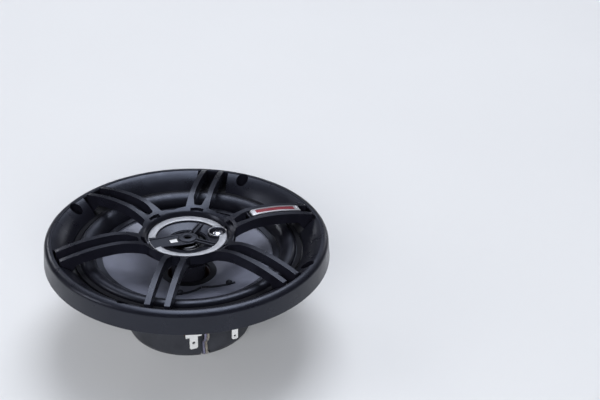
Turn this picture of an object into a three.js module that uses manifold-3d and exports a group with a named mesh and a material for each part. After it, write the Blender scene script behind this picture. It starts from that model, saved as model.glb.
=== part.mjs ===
// Coaxial car speaker, 6.5 inch class, three-way.
// Millimetres, +Z up towards the listener. The origin is the centre of the magnet's back, on the
// surface that the speaker rests on. The badge lies along +X and the terminals face -Y.

import * as THREE from 'three';
import { mergeVertices } from 'three/addons/utils/BufferGeometryUtils.js';
import Module from 'manifold-3d';

const wasm = await Module();
wasm.setup();

// ---------------------------------------------------------------- driving dimensions

const GAP = 0.3; // left between pieces that touch
const RIM_Z = 64.4; // crest of the trim's rim
const RIM_INNER_RADIUS = 81;
const SKIRT_RADIUS = 86.4; // widest, at the skirt's lower edge
const PANEL_Z = 51; // panel that the speaker is screwed to
const SHEET = 1.2; // basket's steel

const SPOKES = 6;
const SPOKE_PITCH = (2 * Math.PI) / SPOKES;
const ARCH_PEAK_RADIUS = 47; // where the spokes are highest
const ARCH_HEIGHT = 5.6; // of the peak above the rim
const SPOKE_DEPTH = 6.5;
const SPOKE_END_RADIUS = 79.2;
const FOOT_RADIUS = 76; // the bars reach down to the flange beyond this
const BAR_INNER_SIDE = 4.0; // from the spoke's centre line
const BAR_OUTER_SIDE = 7.2;
const SLOT_ROOT_RADIUS = 30.5;
const HUB_INNER_RADIUS = 24.5;
const HUB_OUTER_RADIUS = 28;
const HUB_FILLET = 3;

const SCREW_CIRCLE_RADIUS = 78.2;
const SCREW_HOLE_RADIUS = 2.4;
const SCREW_RECESS_RADIUS = 3.9;
const SCREW_ANGLES = [45, 135, 225, 315];

const FLANGE_TOP_Z = 53.4;
const FLANGE_RADIUS = 84;
const BASE_Z = 24.2; // underside of the basket's base
const LEDGE_Z = 31; // spider's seat
const CONE_EDGE_RADIUS = 53.6;
const CONE_EDGE_Z = 49.6;
const CONE_NECK_Z = 35.6;
const CONE_THICKNESS = 0.8;
const FORMER_INNER_RADIUS = 12.7;
const FORMER_OUTER_RADIUS = 13;

const MAGNET_RADIUS = 36.5;
const PLATE_RADIUS = 36;
const POLE_RADIUS = 12.2;
const BOOT_RADIUS = 38.5;
const BOOT_BASE = 2.2;
const BACK_PLATE_Z = BOOT_BASE + GAP;
const BACK_PLATE_TOP_Z = 7;
const MAGNET_TOP_Z = 19.3;
const TOP_PLATE_TOP_Z = 23.9;

const POST_RADIUS = 10.4;
const POST_BORE_RADIUS = 2.2;
const POST_STUD_RADIUS = 5.2;
const POD_RADIUS = 23.6;
const POD_FLOOR_Z = 47.5;
const BEZEL_INNER_RADIUS = 19.2;
const BEZEL_NOTCH_RADIUS = 23.3;
const BEZEL_TOP_Z = 62.1;
const BEZEL_THICKNESS = 0.8;
const DISH_Z = 60; // edge of the dish, just inside the bezel
const TWEETER_OPENING_RADIUS = 12.2;
const GUARD_BOTTOM_Z = 60.3;
const WIDE_ARM_HALF_ANGLE = 16; // degrees, at the bezel
const NARROW_ARM_ANGLES = [46, -46];
const SUPER_TWEETER_OFFSET = 19; // from the axis, along +X
const SUPER_TWEETER_RADIUS = 5.8;

const BOARD_FRONT_Y = -56;
const BOARD_BACK_Y = -46;
const BOARD_Z = 31.3;
const BOARD_THICKNESS = 1.5;
const POSITIVE_TAB_X = -15.4;
const NEGATIVE_TAB_X = 9.8;
const RIVET_Y = -52.4;
const LEAD_RADIUS = 0.75;
const LEAD_SPACING = 1.6; // between the two cores' centres
const TINSEL_RADIUS = 0.55;
const CAPACITOR_WIRE_RADIUS = 0.35;
const RIVET_TOP_Z = 34.2; // under the head, for the rivets that hold the tabs

const LARGE = 48; // facets round the rim, basket and cone
const MEDIUM = 32;
const SMALL = 12;

// ---------------------------------------------------------------- geometry helpers

function degrees(angle) {
  return (angle * Math.PI) / 180;
}

function signedVolume(positions, triangles) {
  const a = new THREE.Vector3();
  const b = new THREE.Vector3();
  const c = new THREE.Vector3();
  let volume = 0;
  for (let i = 0; i < triangles.length; i += 3) {
    a.fromBufferAttribute(positions, triangles[i]);
    b.fromBufferAttribute(positions, triangles[i + 1]);
    c.fromBufferAttribute(positions, triangles[i + 2]);
    volume += a.dot(b.cross(c)) / 6;
  }
  return volume;
}

// A closed mesh with shared vertices, no collapsed triangles, and its faces pointing out.
function closed(geometry) {
  geometry.deleteAttribute('normal');
  geometry.deleteAttribute('uv');
  const merged = mergeVertices(geometry, 1e-4);
  const index = merged.index.array;
  const triangles = [];
  for (let i = 0; i < index.length; i += 3) {
    const [a, b, c] = [index[i], index[i + 1], index[i + 2]];
    if (a !== b && b !== c && c !== a) triangles.push(a, b, c);
  }
  if (signedVolume(merged.attributes.position, triangles) < 0) triangles.reverse();
  merged.setIndex(triangles);
  return merged;
}

function toSolid(geometry) {
  const mesh = new wasm.Mesh({
    numProp: 3,
    vertProperties: new Float32Array(geometry.attributes.position.array),
    triVerts: new Uint32Array(geometry.index.array),
  });
  return new wasm.Manifold(mesh);
}

function fromSolid(solid) {
  const mesh = solid.getMesh();
  const geometry = new THREE.BufferGeometry();
  geometry.setAttribute('position', new THREE.BufferAttribute(mesh.vertProperties, 3));
  geometry.setIndex(new THREE.BufferAttribute(mesh.triVerts, 1));
  return geometry;
}

function cut(body, ...tools) {
  return fromSolid(tools.reduce((solid, tool) => solid.subtract(toSolid(tool)), toSolid(body)));
}

function join(body, ...others) {
  return fromSolid(others.reduce((solid, other) => solid.add(toSolid(other)), toSolid(body)));
}

function common(a, b) {
  return fromSolid(toSolid(a).intersect(toSolid(b)));
}

// A closed [radius, z] profile turned about the Z axis.
function turned(profile, segments) {
  const points = profile.map(([radius, z]) => new THREE.Vector2(radius, z));
  if (profile[0][0] > 0 || profile.at(-1)[0] > 0) points.push(points[0].clone());
  return closed(new THREE.LatheGeometry(points, segments).rotateX(Math.PI / 2));
}

function ring(inner, outer, bottom, top, segments) {
  return turned([[inner, bottom], [outer, bottom], [outer, top], [inner, top]], segments);
}

function disc(radius, bottom, top, segments) {
  return turned([[0, bottom], [radius, bottom], [radius, top], [0, top]], segments);
}

function box(x, y, z) {
  const geometry = new THREE.BoxGeometry(x[1] - x[0], y[1] - y[0], z[1] - z[0]);
  return closed(geometry.translate((x[0] + x[1]) / 2, (y[0] + y[1]) / 2, (z[0] + z[1]) / 2));
}

function prism(shape, bottom, top) {
  const settings = { depth: top - bottom, bevelEnabled: false, curveSegments: 6 };
  return closed(new THREE.ExtrudeGeometry(shape, settings).translate(0, 0, bottom));
}

function polygon(points) {
  return new THREE.Shape(points.map(([x, y]) => new THREE.Vector2(x, y)));
}

// Points on an arc about a centre, both ends included.
function arc(centre, radius, start, end, steps) {
  const points = [];
  for (let i = 0; i <= steps; i++) {
    const angle = start + ((end - start) * i) / steps;
    points.push([centre[0] + radius * Math.cos(angle), centre[1] + radius * Math.sin(angle)]);
  }
  return points;
}

function pie(radius, from, to, bottom, top) {
  const edge = arc([0, 0], radius, degrees(from), degrees(to), 8);
  return prism(polygon([[0, 0], ...edge]), bottom, top);
}

// A round wire along a smooth curve through the points.
function wire(points, sides, radius, steps) {
  const knots = points.map(([x, y, z]) => new THREE.Vector3(x, y, z));
  const path = new THREE.CatmullRomCurve3(knots, false, 'centripetal');
  const section = polygon(arc([0, 0], radius, 0, 2 * Math.PI * (1 - 1 / sides), sides - 1));
  return closed(new THREE.ExtrudeGeometry(section, { steps, extrudePath: path, bevelEnabled: false }));
}

function moved(geometry, x, y, z) {
  return geometry.clone().translate(x, y, z);
}

function spun(geometry, angle) {
  return geometry.clone().rotateZ(angle);
}

function mapSpokes(make) {
  return Array.from({ length: SPOKES }, (_, k) => make(k * SPOKE_PITCH));
}

function atScrews(make) {
  return SCREW_ANGLES.map((angle) => {
    const x = SCREW_CIRCLE_RADIUS * Math.cos(degrees(angle));
    const y = SCREW_CIRCLE_RADIUS * Math.sin(degrees(angle));
    return moved(make(), x, y, 0);
  });
}

// ---------------------------------------------------------------- materials and assembly

const MATERIALS = {
  trimPlastic: { color: 0x2b2c33, roughness: 0.42, metalness: 0 },
  softRubber: { color: 0x1b1c1f, roughness: 0.7, metalness: 0 },
  bootRubber: { color: 0x2a2b2e, roughness: 0.62, metalness: 0 },
  conePaper: { color: 0x6d7080, roughness: 0.6, metalness: 0 },
  foam: { color: 0x232326, roughness: 0.95, metalness: 0 },
  blackPaint: { color: 0x1c1c1e, roughness: 0.5, metalness: 0.3 },
  zincSteel: { color: 0xb4b4ae, roughness: 0.4, metalness: 1 },
  ferrite: { color: 0x35353a, roughness: 0.75, metalness: 0 },
  copper: { color: 0xb06a3a, roughness: 0.35, metalness: 1 },
  kapton: { color: 0x8a5a24, roughness: 0.4, metalness: 0 },
  spiderCloth: { color: 0x8f7a3c, roughness: 0.9, metalness: 0 },
  podPlastic: { color: 0x3a3b42, roughness: 0.45, metalness: 0 },
  silver: { color: 0x9a9aa0, roughness: 0.38, metalness: 1 },
  polished: { color: 0xd8d8da, roughness: 0.1, metalness: 1 },
  domeFilm: { color: 0x6e6a66, roughness: 0.3, metalness: 0.4 },
  badgeRed: { color: 0x5a2226, roughness: 0.35, metalness: 0.2 },
  tin: { color: 0xd6d6d0, roughness: 0.3, metalness: 1 },
  phenolic: { color: 0x5b3a22, roughness: 0.6, metalness: 0 },
  glue: { color: 0x101012, roughness: 0.3, metalness: 0 },
  leadGrey: { color: 0x77738c, roughness: 0.5, metalness: 0 },
  leadBrown: { color: 0x8b8478, roughness: 0.5, metalness: 0 },
  capSleeve: { color: 0x2c3a66, roughness: 0.4, metalness: 0 },
};

const speaker = new THREE.Group();

function add(name, geometry, finish) {
  const mesh = new THREE.Mesh(geometry, new THREE.MeshStandardMaterial(MATERIALS[finish]));
  mesh.name = name;
  speaker.add(mesh);
}

// ---------------------------------------------------------------- trim: ring, spokes and badge

// Height of the spokes' top surface: one parabola towards the hub and one towards the rim.
function archZ(radius) {
  const inward = radius < ARCH_PEAK_RADIUS;
  const span = inward ? 22.5 : 34;
  const drop = inward ? 6.5 : 5.2;
  return RIM_Z + ARCH_HEIGHT - drop * ((radius - ARCH_PEAK_RADIUS) / span) ** 2;
}

// A turned layer that follows the arch, between two offsets from its top surface.
function archLayer(from, to, lower, upper) {
  const steps = Math.ceil((to - from) / 7);
  const radii = Array.from({ length: steps + 1 }, (_, i) => from + ((to - from) * i) / steps);
  const bottom = radii.map((radius) => [radius, archZ(radius) + lower(radius)]);
  const top = radii.map((radius) => [radius, archZ(radius) + upper]).reverse();
  return turned([...bottom, ...top], MEDIUM);
}

// Height of the slope from the rim down to the ring's inner edge, steeper further in.
function slopeZ(radius) {
  const inward = RIM_INNER_RADIUS - 0.2 - radius;
  return RIM_Z - 0.6 - 0.4 * inward - 0.0403 * inward ** 2;
}

const SLOPE = [80.8, 78, 75, 72.4, 70].map((radius) => [radius, slopeZ(radius)]);

function screwBoss() {
  return disc(SCREW_RECESS_RADIUS + 1.3, FLANGE_TOP_Z + GAP, 62, SMALL);
}

function screwRecess() {
  const floor = 55.6;
  const profile = [[0, 50], [SCREW_HOLE_RADIUS, 50], [SCREW_HOLE_RADIUS, floor], [SCREW_RECESS_RADIUS, floor],
    [SCREW_RECESS_RADIUS, 66], [0, 66]];
  return turned(profile, SMALL);
}

function trimRing() {
  const crest = [[85.5, 61.2], [85, 62.6], [83.8, 63.7], [82.4, 64.3], [RIM_INNER_RADIUS, RIM_Z]];
  const underside = [
    [69.8, 53.8], [71.2, 53.8], [75.6, 58.6], [79, 60.8], [83, 61.5], [84, 60.4], [84.6, 56],
  ];
  const profile = [[SKIRT_RADIUS, PANEL_Z], ...crest, ...SLOPE, ...underside, [84.6, PANEL_Z]];
  const belowSlope = turned([[66, 50], [83, 50], [83, 63], ...SLOPE, [66, 51]], LARGE);
  const bosses = atScrews(screwBoss).map((boss) => common(boss, belowSlope));
  const sectors = join(turned(profile, LARGE), ...bosses);
  const notch = box([60, RIM_INNER_RADIUS - 0.7], [-10, 10], [50, 66]);
  return cut(sectors, ...mapSpokes((angle) => spun(notch, angle)), ...atScrews(screwRecess));
}

// Outline of one spoke in its own frame, along +X, from the hub round both bars and back.
function spokeOutline() {
  const filletX = Math.sqrt((HUB_OUTER_RADIUS + HUB_FILLET) ** 2 - (BAR_OUTER_SIDE + HUB_FILLET) ** 2);
  const centre = [filletX, BAR_OUTER_SIDE + HUB_FILLET];
  const towardsHub = Math.atan2(-centre[1], -centre[0]);
  const fillet = arc(centre, HUB_FILLET, towardsHub, -Math.PI / 2, 3);
  const slotCorner = arc([SLOT_ROOT_RADIUS + 1.5, 1.2], 1.5, Math.PI / 2, Math.PI, 2);
  const half = [
    ...fillet,
    [SPOKE_END_RADIUS, BAR_OUTER_SIDE], [SPOKE_END_RADIUS, BAR_INNER_SIDE],
    [37, BAR_INNER_SIDE], ...slotCorner,
  ];
  const mirrored = half.map(([x, y]) => [x, -y]);
  return [...mirrored, ...half.reverse()];
}

function spokePlan() {
  const outline = mapSpokes((angle) => spokeOutline().map(([x, y]) => [
    x * Math.cos(angle) - y * Math.sin(angle),
    x * Math.sin(angle) + y * Math.cos(angle),
  ])).flat();
  const shape = polygon(outline);
  shape.holes.push(new THREE.Path().absarc(0, 0, HUB_INNER_RADIUS, 0, 2 * Math.PI, true));
  return new THREE.ExtrudeGeometry(shape, { depth: 30, bevelEnabled: false, curveSegments: MEDIUM });
}

// How far the bars reach below their top: evenly, then down to the flange as feet.
function barDepth(radius) {
  const rampStart = 70;
  const footDepth = archZ(radius) - FLANGE_TOP_Z - GAP;
  const t = Math.min(Math.max((radius - rampStart) / (FOOT_RADIUS - rampStart), 0), 1);
  return -(SPOKE_DEPTH + (footDepth - SPOKE_DEPTH) * t);
}

function spokeFrame() {
  const layer = archLayer(HUB_INNER_RADIUS - 1, 82, barDepth, 0);
  const frame = common(closed(spokePlan().translate(0, 0, 48)), layer);
  const pocketDepth = 1.2;
  const pocket = box([25.1, 28.7], [-4.2, 4.2], [archZ(27) - pocketDepth, 72]);
  const betweenBars = [-BAR_INNER_SIDE - 0.2, BAR_INNER_SIDE + 0.2];
  const seat = common(box([39, 75], betweenBars, [55, 72]), archLayer(36, 76, () => -4, -2.3));
  const seatWall = common(box([39, 40.2], betweenBars, [55, 72]), archLayer(36, 76, () => -4, -0.5));
  const clearance = disc(SUPER_TWEETER_RADIUS + 0.5, 50, 72, SMALL);
  const pockets = mapSpokes((angle) => spun(pocket, angle));
  return cut(join(frame, seat, seatWall), moved(clearance, SUPER_TWEETER_OFFSET, 0, 0), ...pockets);
}

const BADGE_ENDS = [40.8, 72.8];
const BADGE_HALF_WIDTH = 3.6;
const BADGE_BORDER = 0.9;

function badgeFrame() {
  const [start, end] = BADGE_ENDS;
  const outline = box(BADGE_ENDS, [-BADGE_HALF_WIDTH, BADGE_HALF_WIDTH], [55, 75]);
  const inside = box([start + BADGE_BORDER, end - BADGE_BORDER],
    [BADGE_BORDER - BADGE_HALF_WIDTH, BADGE_HALF_WIDTH - BADGE_BORDER], [55, 75]);
  const recess = common(inside, archLayer(36, 76, () => -0.6, 3));
  return cut(common(outline, archLayer(36, 76, () => -2, 0.5)), recess);
}

function badgePlate() {
  const inset = BADGE_BORDER + GAP;
  const outline = box([BADGE_ENDS[0] + inset, BADGE_ENDS[1] - inset],
    [inset - BADGE_HALF_WIDTH, BADGE_HALF_WIDTH - inset], [55, 75]);
  return common(outline, archLayer(36, 76, () => -0.3, 0.3));
}

add('trim_ring', trimRing(), 'trimPlastic');
add('spoke_frame', spokeFrame(), 'trimPlastic');
add('badge_frame', badgeFrame(), 'silver');
add('badge_plate', badgePlate(), 'badgeRed');

// ---------------------------------------------------------------- basket and gaskets

function basketWindow() {
  const bottom = 33.5;
  const top = 49;
  const opening = polygon([[-15, bottom], [15, bottom], [22, top], [-22, top]]);
  const across = new THREE.ExtrudeGeometry(opening, { depth: 40, bevelEnabled: false });
  return closed(across.rotateX(Math.PI / 2).rotateZ(Math.PI / 2).translate(36, 0, 0));
}

function screwHole(bottom, top) {
  return () => disc(SCREW_HOLE_RADIUS + 0.2, bottom, top, SMALL);
}

function basket() {
  const ledgeBottom = LEDGE_Z - SHEET;
  const shell = turned([
    [15.5, BASE_Z], [35.6, BASE_Z], [37.4, ledgeBottom], [41.8, ledgeBottom], [63.8, 51.4],
    [64.9, FLANGE_TOP_Z - SHEET], [FLANGE_RADIUS, FLANGE_TOP_Z - SHEET], [FLANGE_RADIUS, FLANGE_TOP_Z],
    [64.2, FLANGE_TOP_Z], [62.9, 52.2], [41.2, LEDGE_Z], [36.4, LEDGE_Z],
    [34.6, BASE_Z + SHEET], [15.5, BASE_Z + SHEET],
  ], LARGE);
  const bracket = box([-10.5, 6], [-53.5, -39.5], [ledgeBottom, LEDGE_Z]);
  const boardRivetHole = moved(disc(1.3, 28, 33, SMALL), -2, -50, 0);
  const windows = mapSpokes((angle) => spun(basketWindow(), angle));
  return cut(join(shell, bracket), boardRivetHole, ...windows, ...atScrews(screwHole(50, 55)));
}

function rearGasket() {
  const top = FLANGE_TOP_Z - SHEET - GAP;
  return cut(ring(66, 83.5, PANEL_Z, top, LARGE), ...atScrews(screwHole(50, 53)));
}

add('basket', basket(), 'blackPaint');
add('rear_gasket', rearGasket(), 'foam');
add('front_gasket', ring(66.4, 69.3, 54.8, 55.5, LARGE), 'foam');

// ---------------------------------------------------------------- cone, surround, spider and coil

// Height of the cone's front face.
function coneZ(radius) {
  const t = (radius - FORMER_OUTER_RADIUS) / (CONE_EDGE_RADIUS - FORMER_OUTER_RADIUS);
  const bow = 1.6;
  return CONE_NECK_Z + (CONE_EDGE_Z - CONE_NECK_Z) * t + bow * t * (1 - t);
}

function cone() {
  const radii = [14.2, 22, 31, 41, CONE_EDGE_RADIUS];
  const front = radii.map((radius) => [radius, coneZ(radius)]);
  const back = radii.map((radius) => [radius, coneZ(radius) - CONE_THICKNESS]).reverse();
  const neck = [[13.9, 33], [13.1, 33], [13.1, 35.8]];
  return turned([...front, ...back, ...neck], LARGE);
}

// A half roll between two flat lands, the inner one glued to the cone's edge.
function surround() {
  const thickness = 0.7;
  const inner = [55.4, 50.6];
  const outer = [65.8, 54.4];
  const rollHeight = 4.2;
  const top = [];
  const steps = 6;
  for (let i = 0; i <= steps; i++) {
    const turn = (Math.PI * i) / steps;
    const along = (1 - Math.cos(turn)) / 2;
    const radius = inner[0] + (outer[0] - inner[0]) * along;
    top.push([radius, inner[1] + (outer[1] - inner[1]) * along + rollHeight * Math.sin(turn)]);
  }
  const face = [[51.6, inner[1]], ...top, [69.3, outer[1]]];
  const back = face.map(([radius, z]) => [radius, z - thickness]).reverse();
  return turned([...face, ...back], LARGE);
}

function spider() {
  const thickness = 0.5;
  const level = LEDGE_Z + GAP;
  const waves = [[13.3, 0], [16, 0], [19, 1], [22, -1], [25, 1], [28, -1], [31, 1], [34, 0], [40.6, 0]];
  const bottom = waves.map(([radius, lift]) => [radius, level + lift]);
  const top = waves.map(([radius, lift]) => [radius, level + lift + thickness]).reverse();
  return turned([...bottom, ...top], MEDIUM);
}

const EYELET_RADIUS = 35.3;
const EYELET_ANGLES = { positive: -115.5, negative: -64.5 };

// A blob of glue over the eyelet, shaped like a low button on the cone's face.
function eyelet(angle) {
  const x = EYELET_RADIUS * Math.cos(degrees(angle));
  const y = EYELET_RADIUS * Math.sin(degrees(angle));
  const base = coneZ(EYELET_RADIUS) + 1.4;
  const blob = turned([[0, base], [1.9, base], [1.7, base + 0.6], [0.9, base + 1.1], [0, base + 1.2]], 16);
  return moved(blob, x, y, 0);
}

function tinselLead(angle, boardX) {
  const x = EYELET_RADIUS * Math.cos(degrees(angle));
  const y = EYELET_RADIUS * Math.sin(degrees(angle));
  const start = coneZ(EYELET_RADIUS) - CONE_THICKNESS - 1.2;
  return wire([
    [x, y, start], [x, y - 1.5, start - 3], [x * 0.97, y - 5, start - 6.5],
    [boardX * 1.12, -42, 35.4], [boardX * 1.05, -46, 34.4], [boardX, -48.8, 34.6],
  ], 8, TINSEL_RADIUS, 16);
}

add('cone', cone(), 'conePaper');
add('surround', surround(), 'softRubber');
add('spider', spider(), 'spiderCloth');
add('voice_coil_former', ring(FORMER_INNER_RADIUS, FORMER_OUTER_RADIUS, 12, 35.6, MEDIUM), 'kapton');
add('voice_coil_winding', ring(13.1, 13.6, 15, 26, MEDIUM), 'copper');
add('eyelet_positive', eyelet(EYELET_ANGLES.positive), 'glue');
add('eyelet_negative', eyelet(EYELET_ANGLES.negative), 'glue');
add('tinsel_lead_positive', tinselLead(EYELET_ANGLES.positive, POSITIVE_TAB_X), 'copper');
add('tinsel_lead_negative', tinselLead(EYELET_ANGLES.negative, NEGATIVE_TAB_X), 'copper');

// ---------------------------------------------------------------- magnet and post

// The rubber boot has a slot through its base, where the two tweeter leads pass.
function magnetBoot() {
  const cup = turned([
    [24, 0], [36, 0], [37.6, 0.7], [BOOT_RADIUS, 2.6], [BOOT_RADIUS, 22.2], [37, 22.2],
    [37, BOOT_BASE], [24, BOOT_BASE],
  ], LARGE);
  const leadSlot = box([-5.2, 0.4], [-40, -20], [-1, BOOT_BASE + 1.5]);
  return cut(cup, leadSlot);
}

// Back plate and pole in one piece, bored for the post, with a recess for its nut.
function backPlate() {
  const recess = 3;
  return turned([
    [8.6, BACK_PLATE_Z], [PLATE_RADIUS, BACK_PLATE_Z], [PLATE_RADIUS, BACK_PLATE_TOP_Z],
    [POLE_RADIUS, BACK_PLATE_TOP_Z], [POLE_RADIUS, TOP_PLATE_TOP_Z], [5.6, TOP_PLATE_TOP_Z],
    [5.6, BACK_PLATE_Z + recess], [8.6, BACK_PLATE_Z + recess],
  ], MEDIUM);
}

function post() {
  return turned([
    [POST_BORE_RADIUS, 2.7], [POST_STUD_RADIUS, 2.7], [POST_STUD_RADIUS, TOP_PLATE_TOP_Z + GAP],
    [POST_RADIUS, TOP_PLATE_TOP_Z + GAP], [POST_RADIUS, POD_FLOOR_Z - GAP],
    [POST_BORE_RADIUS, POD_FLOOR_Z - GAP],
  ], MEDIUM);
}

function postNut() {
  const hexagon = polygon(arc([0, 0], 8.1, 0, (5 / 3) * Math.PI, 5));
  return cut(prism(hexagon, 2.6, 5.2), disc(POST_STUD_RADIUS + GAP, 0, 8, SMALL));
}

add('magnet_boot', magnetBoot(), 'bootRubber');
add('back_plate', backPlate(), 'zincSteel');
add('ferrite_magnet', ring(17, MAGNET_RADIUS, BACK_PLATE_TOP_Z + GAP, MAGNET_TOP_Z, MEDIUM), 'ferrite');
add('top_plate', ring(14.2, PLATE_RADIUS, MAGNET_TOP_Z + GAP, TOP_PLATE_TOP_Z, MEDIUM), 'zincSteel');
add('pod_post', post(), 'podPlastic');
add('post_nut', postNut(), 'zincSteel');

// ---------------------------------------------------------------- tweeter pod

function superTweeterHole(bottom, top) {
  return moved(disc(SUPER_TWEETER_RADIUS + 0.3, bottom, top, MEDIUM), SUPER_TWEETER_OFFSET, 0, 0);
}

function podHousing() {
  const seat = BEZEL_TOP_Z - BEZEL_THICKNESS - GAP;
  const shell = turned([
    [2.6, POD_FLOOR_Z], [14, POD_FLOOR_Z], [POD_RADIUS, 56.5], [POD_RADIUS, seat], [19, seat], [19, DISH_Z],
    [TWEETER_OPENING_RADIUS, 58.4], [TWEETER_OPENING_RADIUS, 49.3], [2.6, 49.3],
  ], MEDIUM);
  return cut(shell, superTweeterHole(52.7, 66));
}

// One silver ring, cut through by the super tweeter and notched for the guard's wide arm.
function bezel() {
  const band = ring(BEZEL_INNER_RADIUS, 23.9, BEZEL_TOP_Z - BEZEL_THICKNESS, BEZEL_TOP_Z, MEDIUM);
  const notch = pie(BEZEL_NOTCH_RADIUS, 180 - WIDE_ARM_HALF_ANGLE, 180 + WIDE_ARM_HALF_ANGLE, 55, 70);
  return cut(band, notch, superTweeterHole(55, 70));
}

// Three arms that meet in a bored boss. The wide arm fills the bezel's notch.
function tweeterGuard() {
  const armTop = 61.3;
  const boss = disc(5.5, GUARD_BOTTOM_Z, armTop + 0.3, MEDIUM);
  const narrow = box([4, 18.6], [-1.5, 1.5], [GUARD_BOTTOM_Z, armTop]);
  const wide = prism(polygon([[-4, -3.6], [-4, 3.6], [-17.8, 5.2], [-17.8, -5.2]]), GUARD_BOTTOM_Z, 61.9);
  const footPlan = polygon([[-17.5, -5.2], [-17.5, 5.2], [-22.2, 5.6], [-22.2, -5.6]]);
  const foot = prism(footPlan, BEZEL_TOP_Z - BEZEL_THICKNESS, 61.9);
  const pocket = box([-11.5, -6.5], [-2, 2], [55, 66]);
  const arms = NARROW_ARM_ANGLES.map((angle) => spun(narrow, degrees(angle)));
  return cut(join(boss, wide, foot, ...arms), pocket, disc(1.5, 55, 66, 16));
}

// A shallow dome with a flat edge that is glued under the pod's bright rim.
function domeShell(radius, edge, base, height, thickness) {
  const outside = [];
  const inside = [];
  const steps = 4;
  for (let i = 0; i <= steps; i++) {
    const t = i / steps;
    const lift = height * Math.sqrt(1 - (t * 0.97) ** 2);
    outside.push([radius * t, base + lift + thickness]);
    inside.push([radius * t, base + lift]);
  }
  return turned([...outside, [edge, base + thickness], [edge, base], ...inside.reverse()], 24);
}

add('pod_housing', podHousing(), 'podPlastic');
add('bezel', bezel(), 'silver');
add('tweeter_guard', tweeterGuard(), 'podPlastic');
add('tweeter_rim', ring(11.2, 11.9, 58, 58.9, MEDIUM), 'podPlastic');
add('tweeter_dome', domeShell(8.4, 10.8, 57.2, 2.1, 0.3), 'domeFilm');
add('tweeter_coil', ring(7.8, 8.3, 53, 56.9, 24), 'copper');
const tweeterCup = turned([[0, 49.6], [11.6, 49.6], [11.6, 56.4], [9, 56.4], [9, 50.9], [0, 50.9]], 24);
add('tweeter_cup', tweeterCup, 'zincSteel');
add('tweeter_magnet', disc(6.8, 51.2, 54, 24), 'polished');
add('tweeter_pole_plate', disc(7.3, 54.3, 55.8, 24), 'zincSteel');

function atSuperTweeter(geometry) {
  return moved(geometry, SUPER_TWEETER_OFFSET, 0, 0);
}

const superTweeterCup = turned([[0, 53], [5.7, 53], [5.7, 60.6], [4.7, 60.6], [4.7, 54], [0, 54]], 24);
add('super_tweeter_cup', atSuperTweeter(superTweeterCup), 'podPlastic');
add('super_tweeter_bezel', atSuperTweeter(ring(4.5, SUPER_TWEETER_RADIUS, 60.9, 61.9, 24)), 'polished');
add('super_tweeter_dome', atSuperTweeter(domeShell(3.4, 4.3, 59, 1.9, 0.3)), 'polished');
add('super_tweeter_piezo', atSuperTweeter(disc(4.2, 55.2, 55.6, 24)), 'tin');

// ---------------------------------------------------------------- terminals, capacitor and leads

function boardHole(x, y) {
  return moved(disc(1.3, 25, 40, 16), x, y, 0);
}

function terminalBoard() {
  const plate = box([-21, 16], [BOARD_FRONT_Y, BOARD_BACK_Y], [BOARD_Z, BOARD_Z + BOARD_THICKNESS]);
  const tabHoles = [POSITIVE_TAB_X, NEGATIVE_TAB_X].map((x) => boardHole(x, RIVET_Y));
  return cut(plate, ...tabHoles, boardHole(-2, -50));
}

// A tab with a foot on the board, bent down over its edge: shoulders first, then the blade.
function terminalTab(x, shoulderWidth, bladeWidth, shoulderZ, tipZ, holeRadius) {
  const thickness = 0.8;
  const footZ = BOARD_Z + BOARD_THICKNESS + GAP;
  const front = BOARD_FRONT_Y - GAP - thickness;
  const half = shoulderWidth / 2;
  const foot = box([x - half, x + half], [front, -49.8], [footZ, footZ + thickness]);
  const shoulders = box([x - half, x + half], [front, front + thickness], [shoulderZ, footZ + thickness]);
  const corner = 0.8;
  const side = bladeWidth / 2;
  const outline = polygon([
    [-side, shoulderZ + 1], [-side, tipZ + corner], [corner - side, tipZ],
    [side - corner, tipZ], [side, tipZ + corner], [side, shoulderZ + 1],
  ]);
  const blade = new THREE.ExtrudeGeometry(outline, { depth: thickness, bevelEnabled: false });
  const hanging = closed(blade.rotateX(Math.PI / 2).translate(x, front + thickness, 0));
  const pin = new THREE.CylinderGeometry(holeRadius, holeRadius, 4, 12);
  const eye = closed(pin.translate(x, front, (shoulderZ + tipZ) / 2));
  return cut(join(foot, shoulders, hanging), eye, boardHole(x, RIVET_Y));
}

function rivet(x, y, bottom, top) {
  const headHeight = 0.7;
  const profile = [
    [0, bottom - headHeight], [1.5, bottom - headHeight], [1.9, bottom], [1, bottom],
    [1, top], [1.9, top], [1.5, top + headHeight], [0, top + headHeight],
  ];
  return moved(turned(profile, 16), x, y, 0);
}

function capacitor() {
  const can = turned([[0, -5.5], [2.7, -5.5], [3, -5.2], [3, 5.2], [2.7, 5.5], [0, 5.5]], SMALL);
  return can.rotateY(Math.PI / 2).translate(0.3, -53.2, 36.1);
}

// One core of the flat twin lead: over the board's edge, down the boot, under it and up the post.
function tweeterLead(side) {
  const offset = (side * LEAD_SPACING) / 2;
  const route = [
    [-7.6, -50.5, 34.2], [-7.8, -54.5, 34.4], [-7.8, -57.2, 33.2], [-7.7, -57.9, 30.6], [-7.2, -56.6, 27],
    [-6, -51.5, 21.5], [-4.6, -44.5, 16.2], [-3.6, -40.6, 11.5], [-3, -39.7, 6.5], [-2.7, -39.5, 3],
    [-2.6, -37.8, 1.25], [-2.4, -34, 1.1], [-1.8, -24, 1.1], [-0.9, -11, 1.1], [-0.3, -4, 1.2],
    [0, -0.9, 2.6], [0, 0, 6], [0, 0, 16], [0, 0, 32], [0, 0, 48.6],
  ];
  return wire(route.map(([x, y, z]) => [x + offset, y, z]), 8, LEAD_RADIUS, 48);
}

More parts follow.
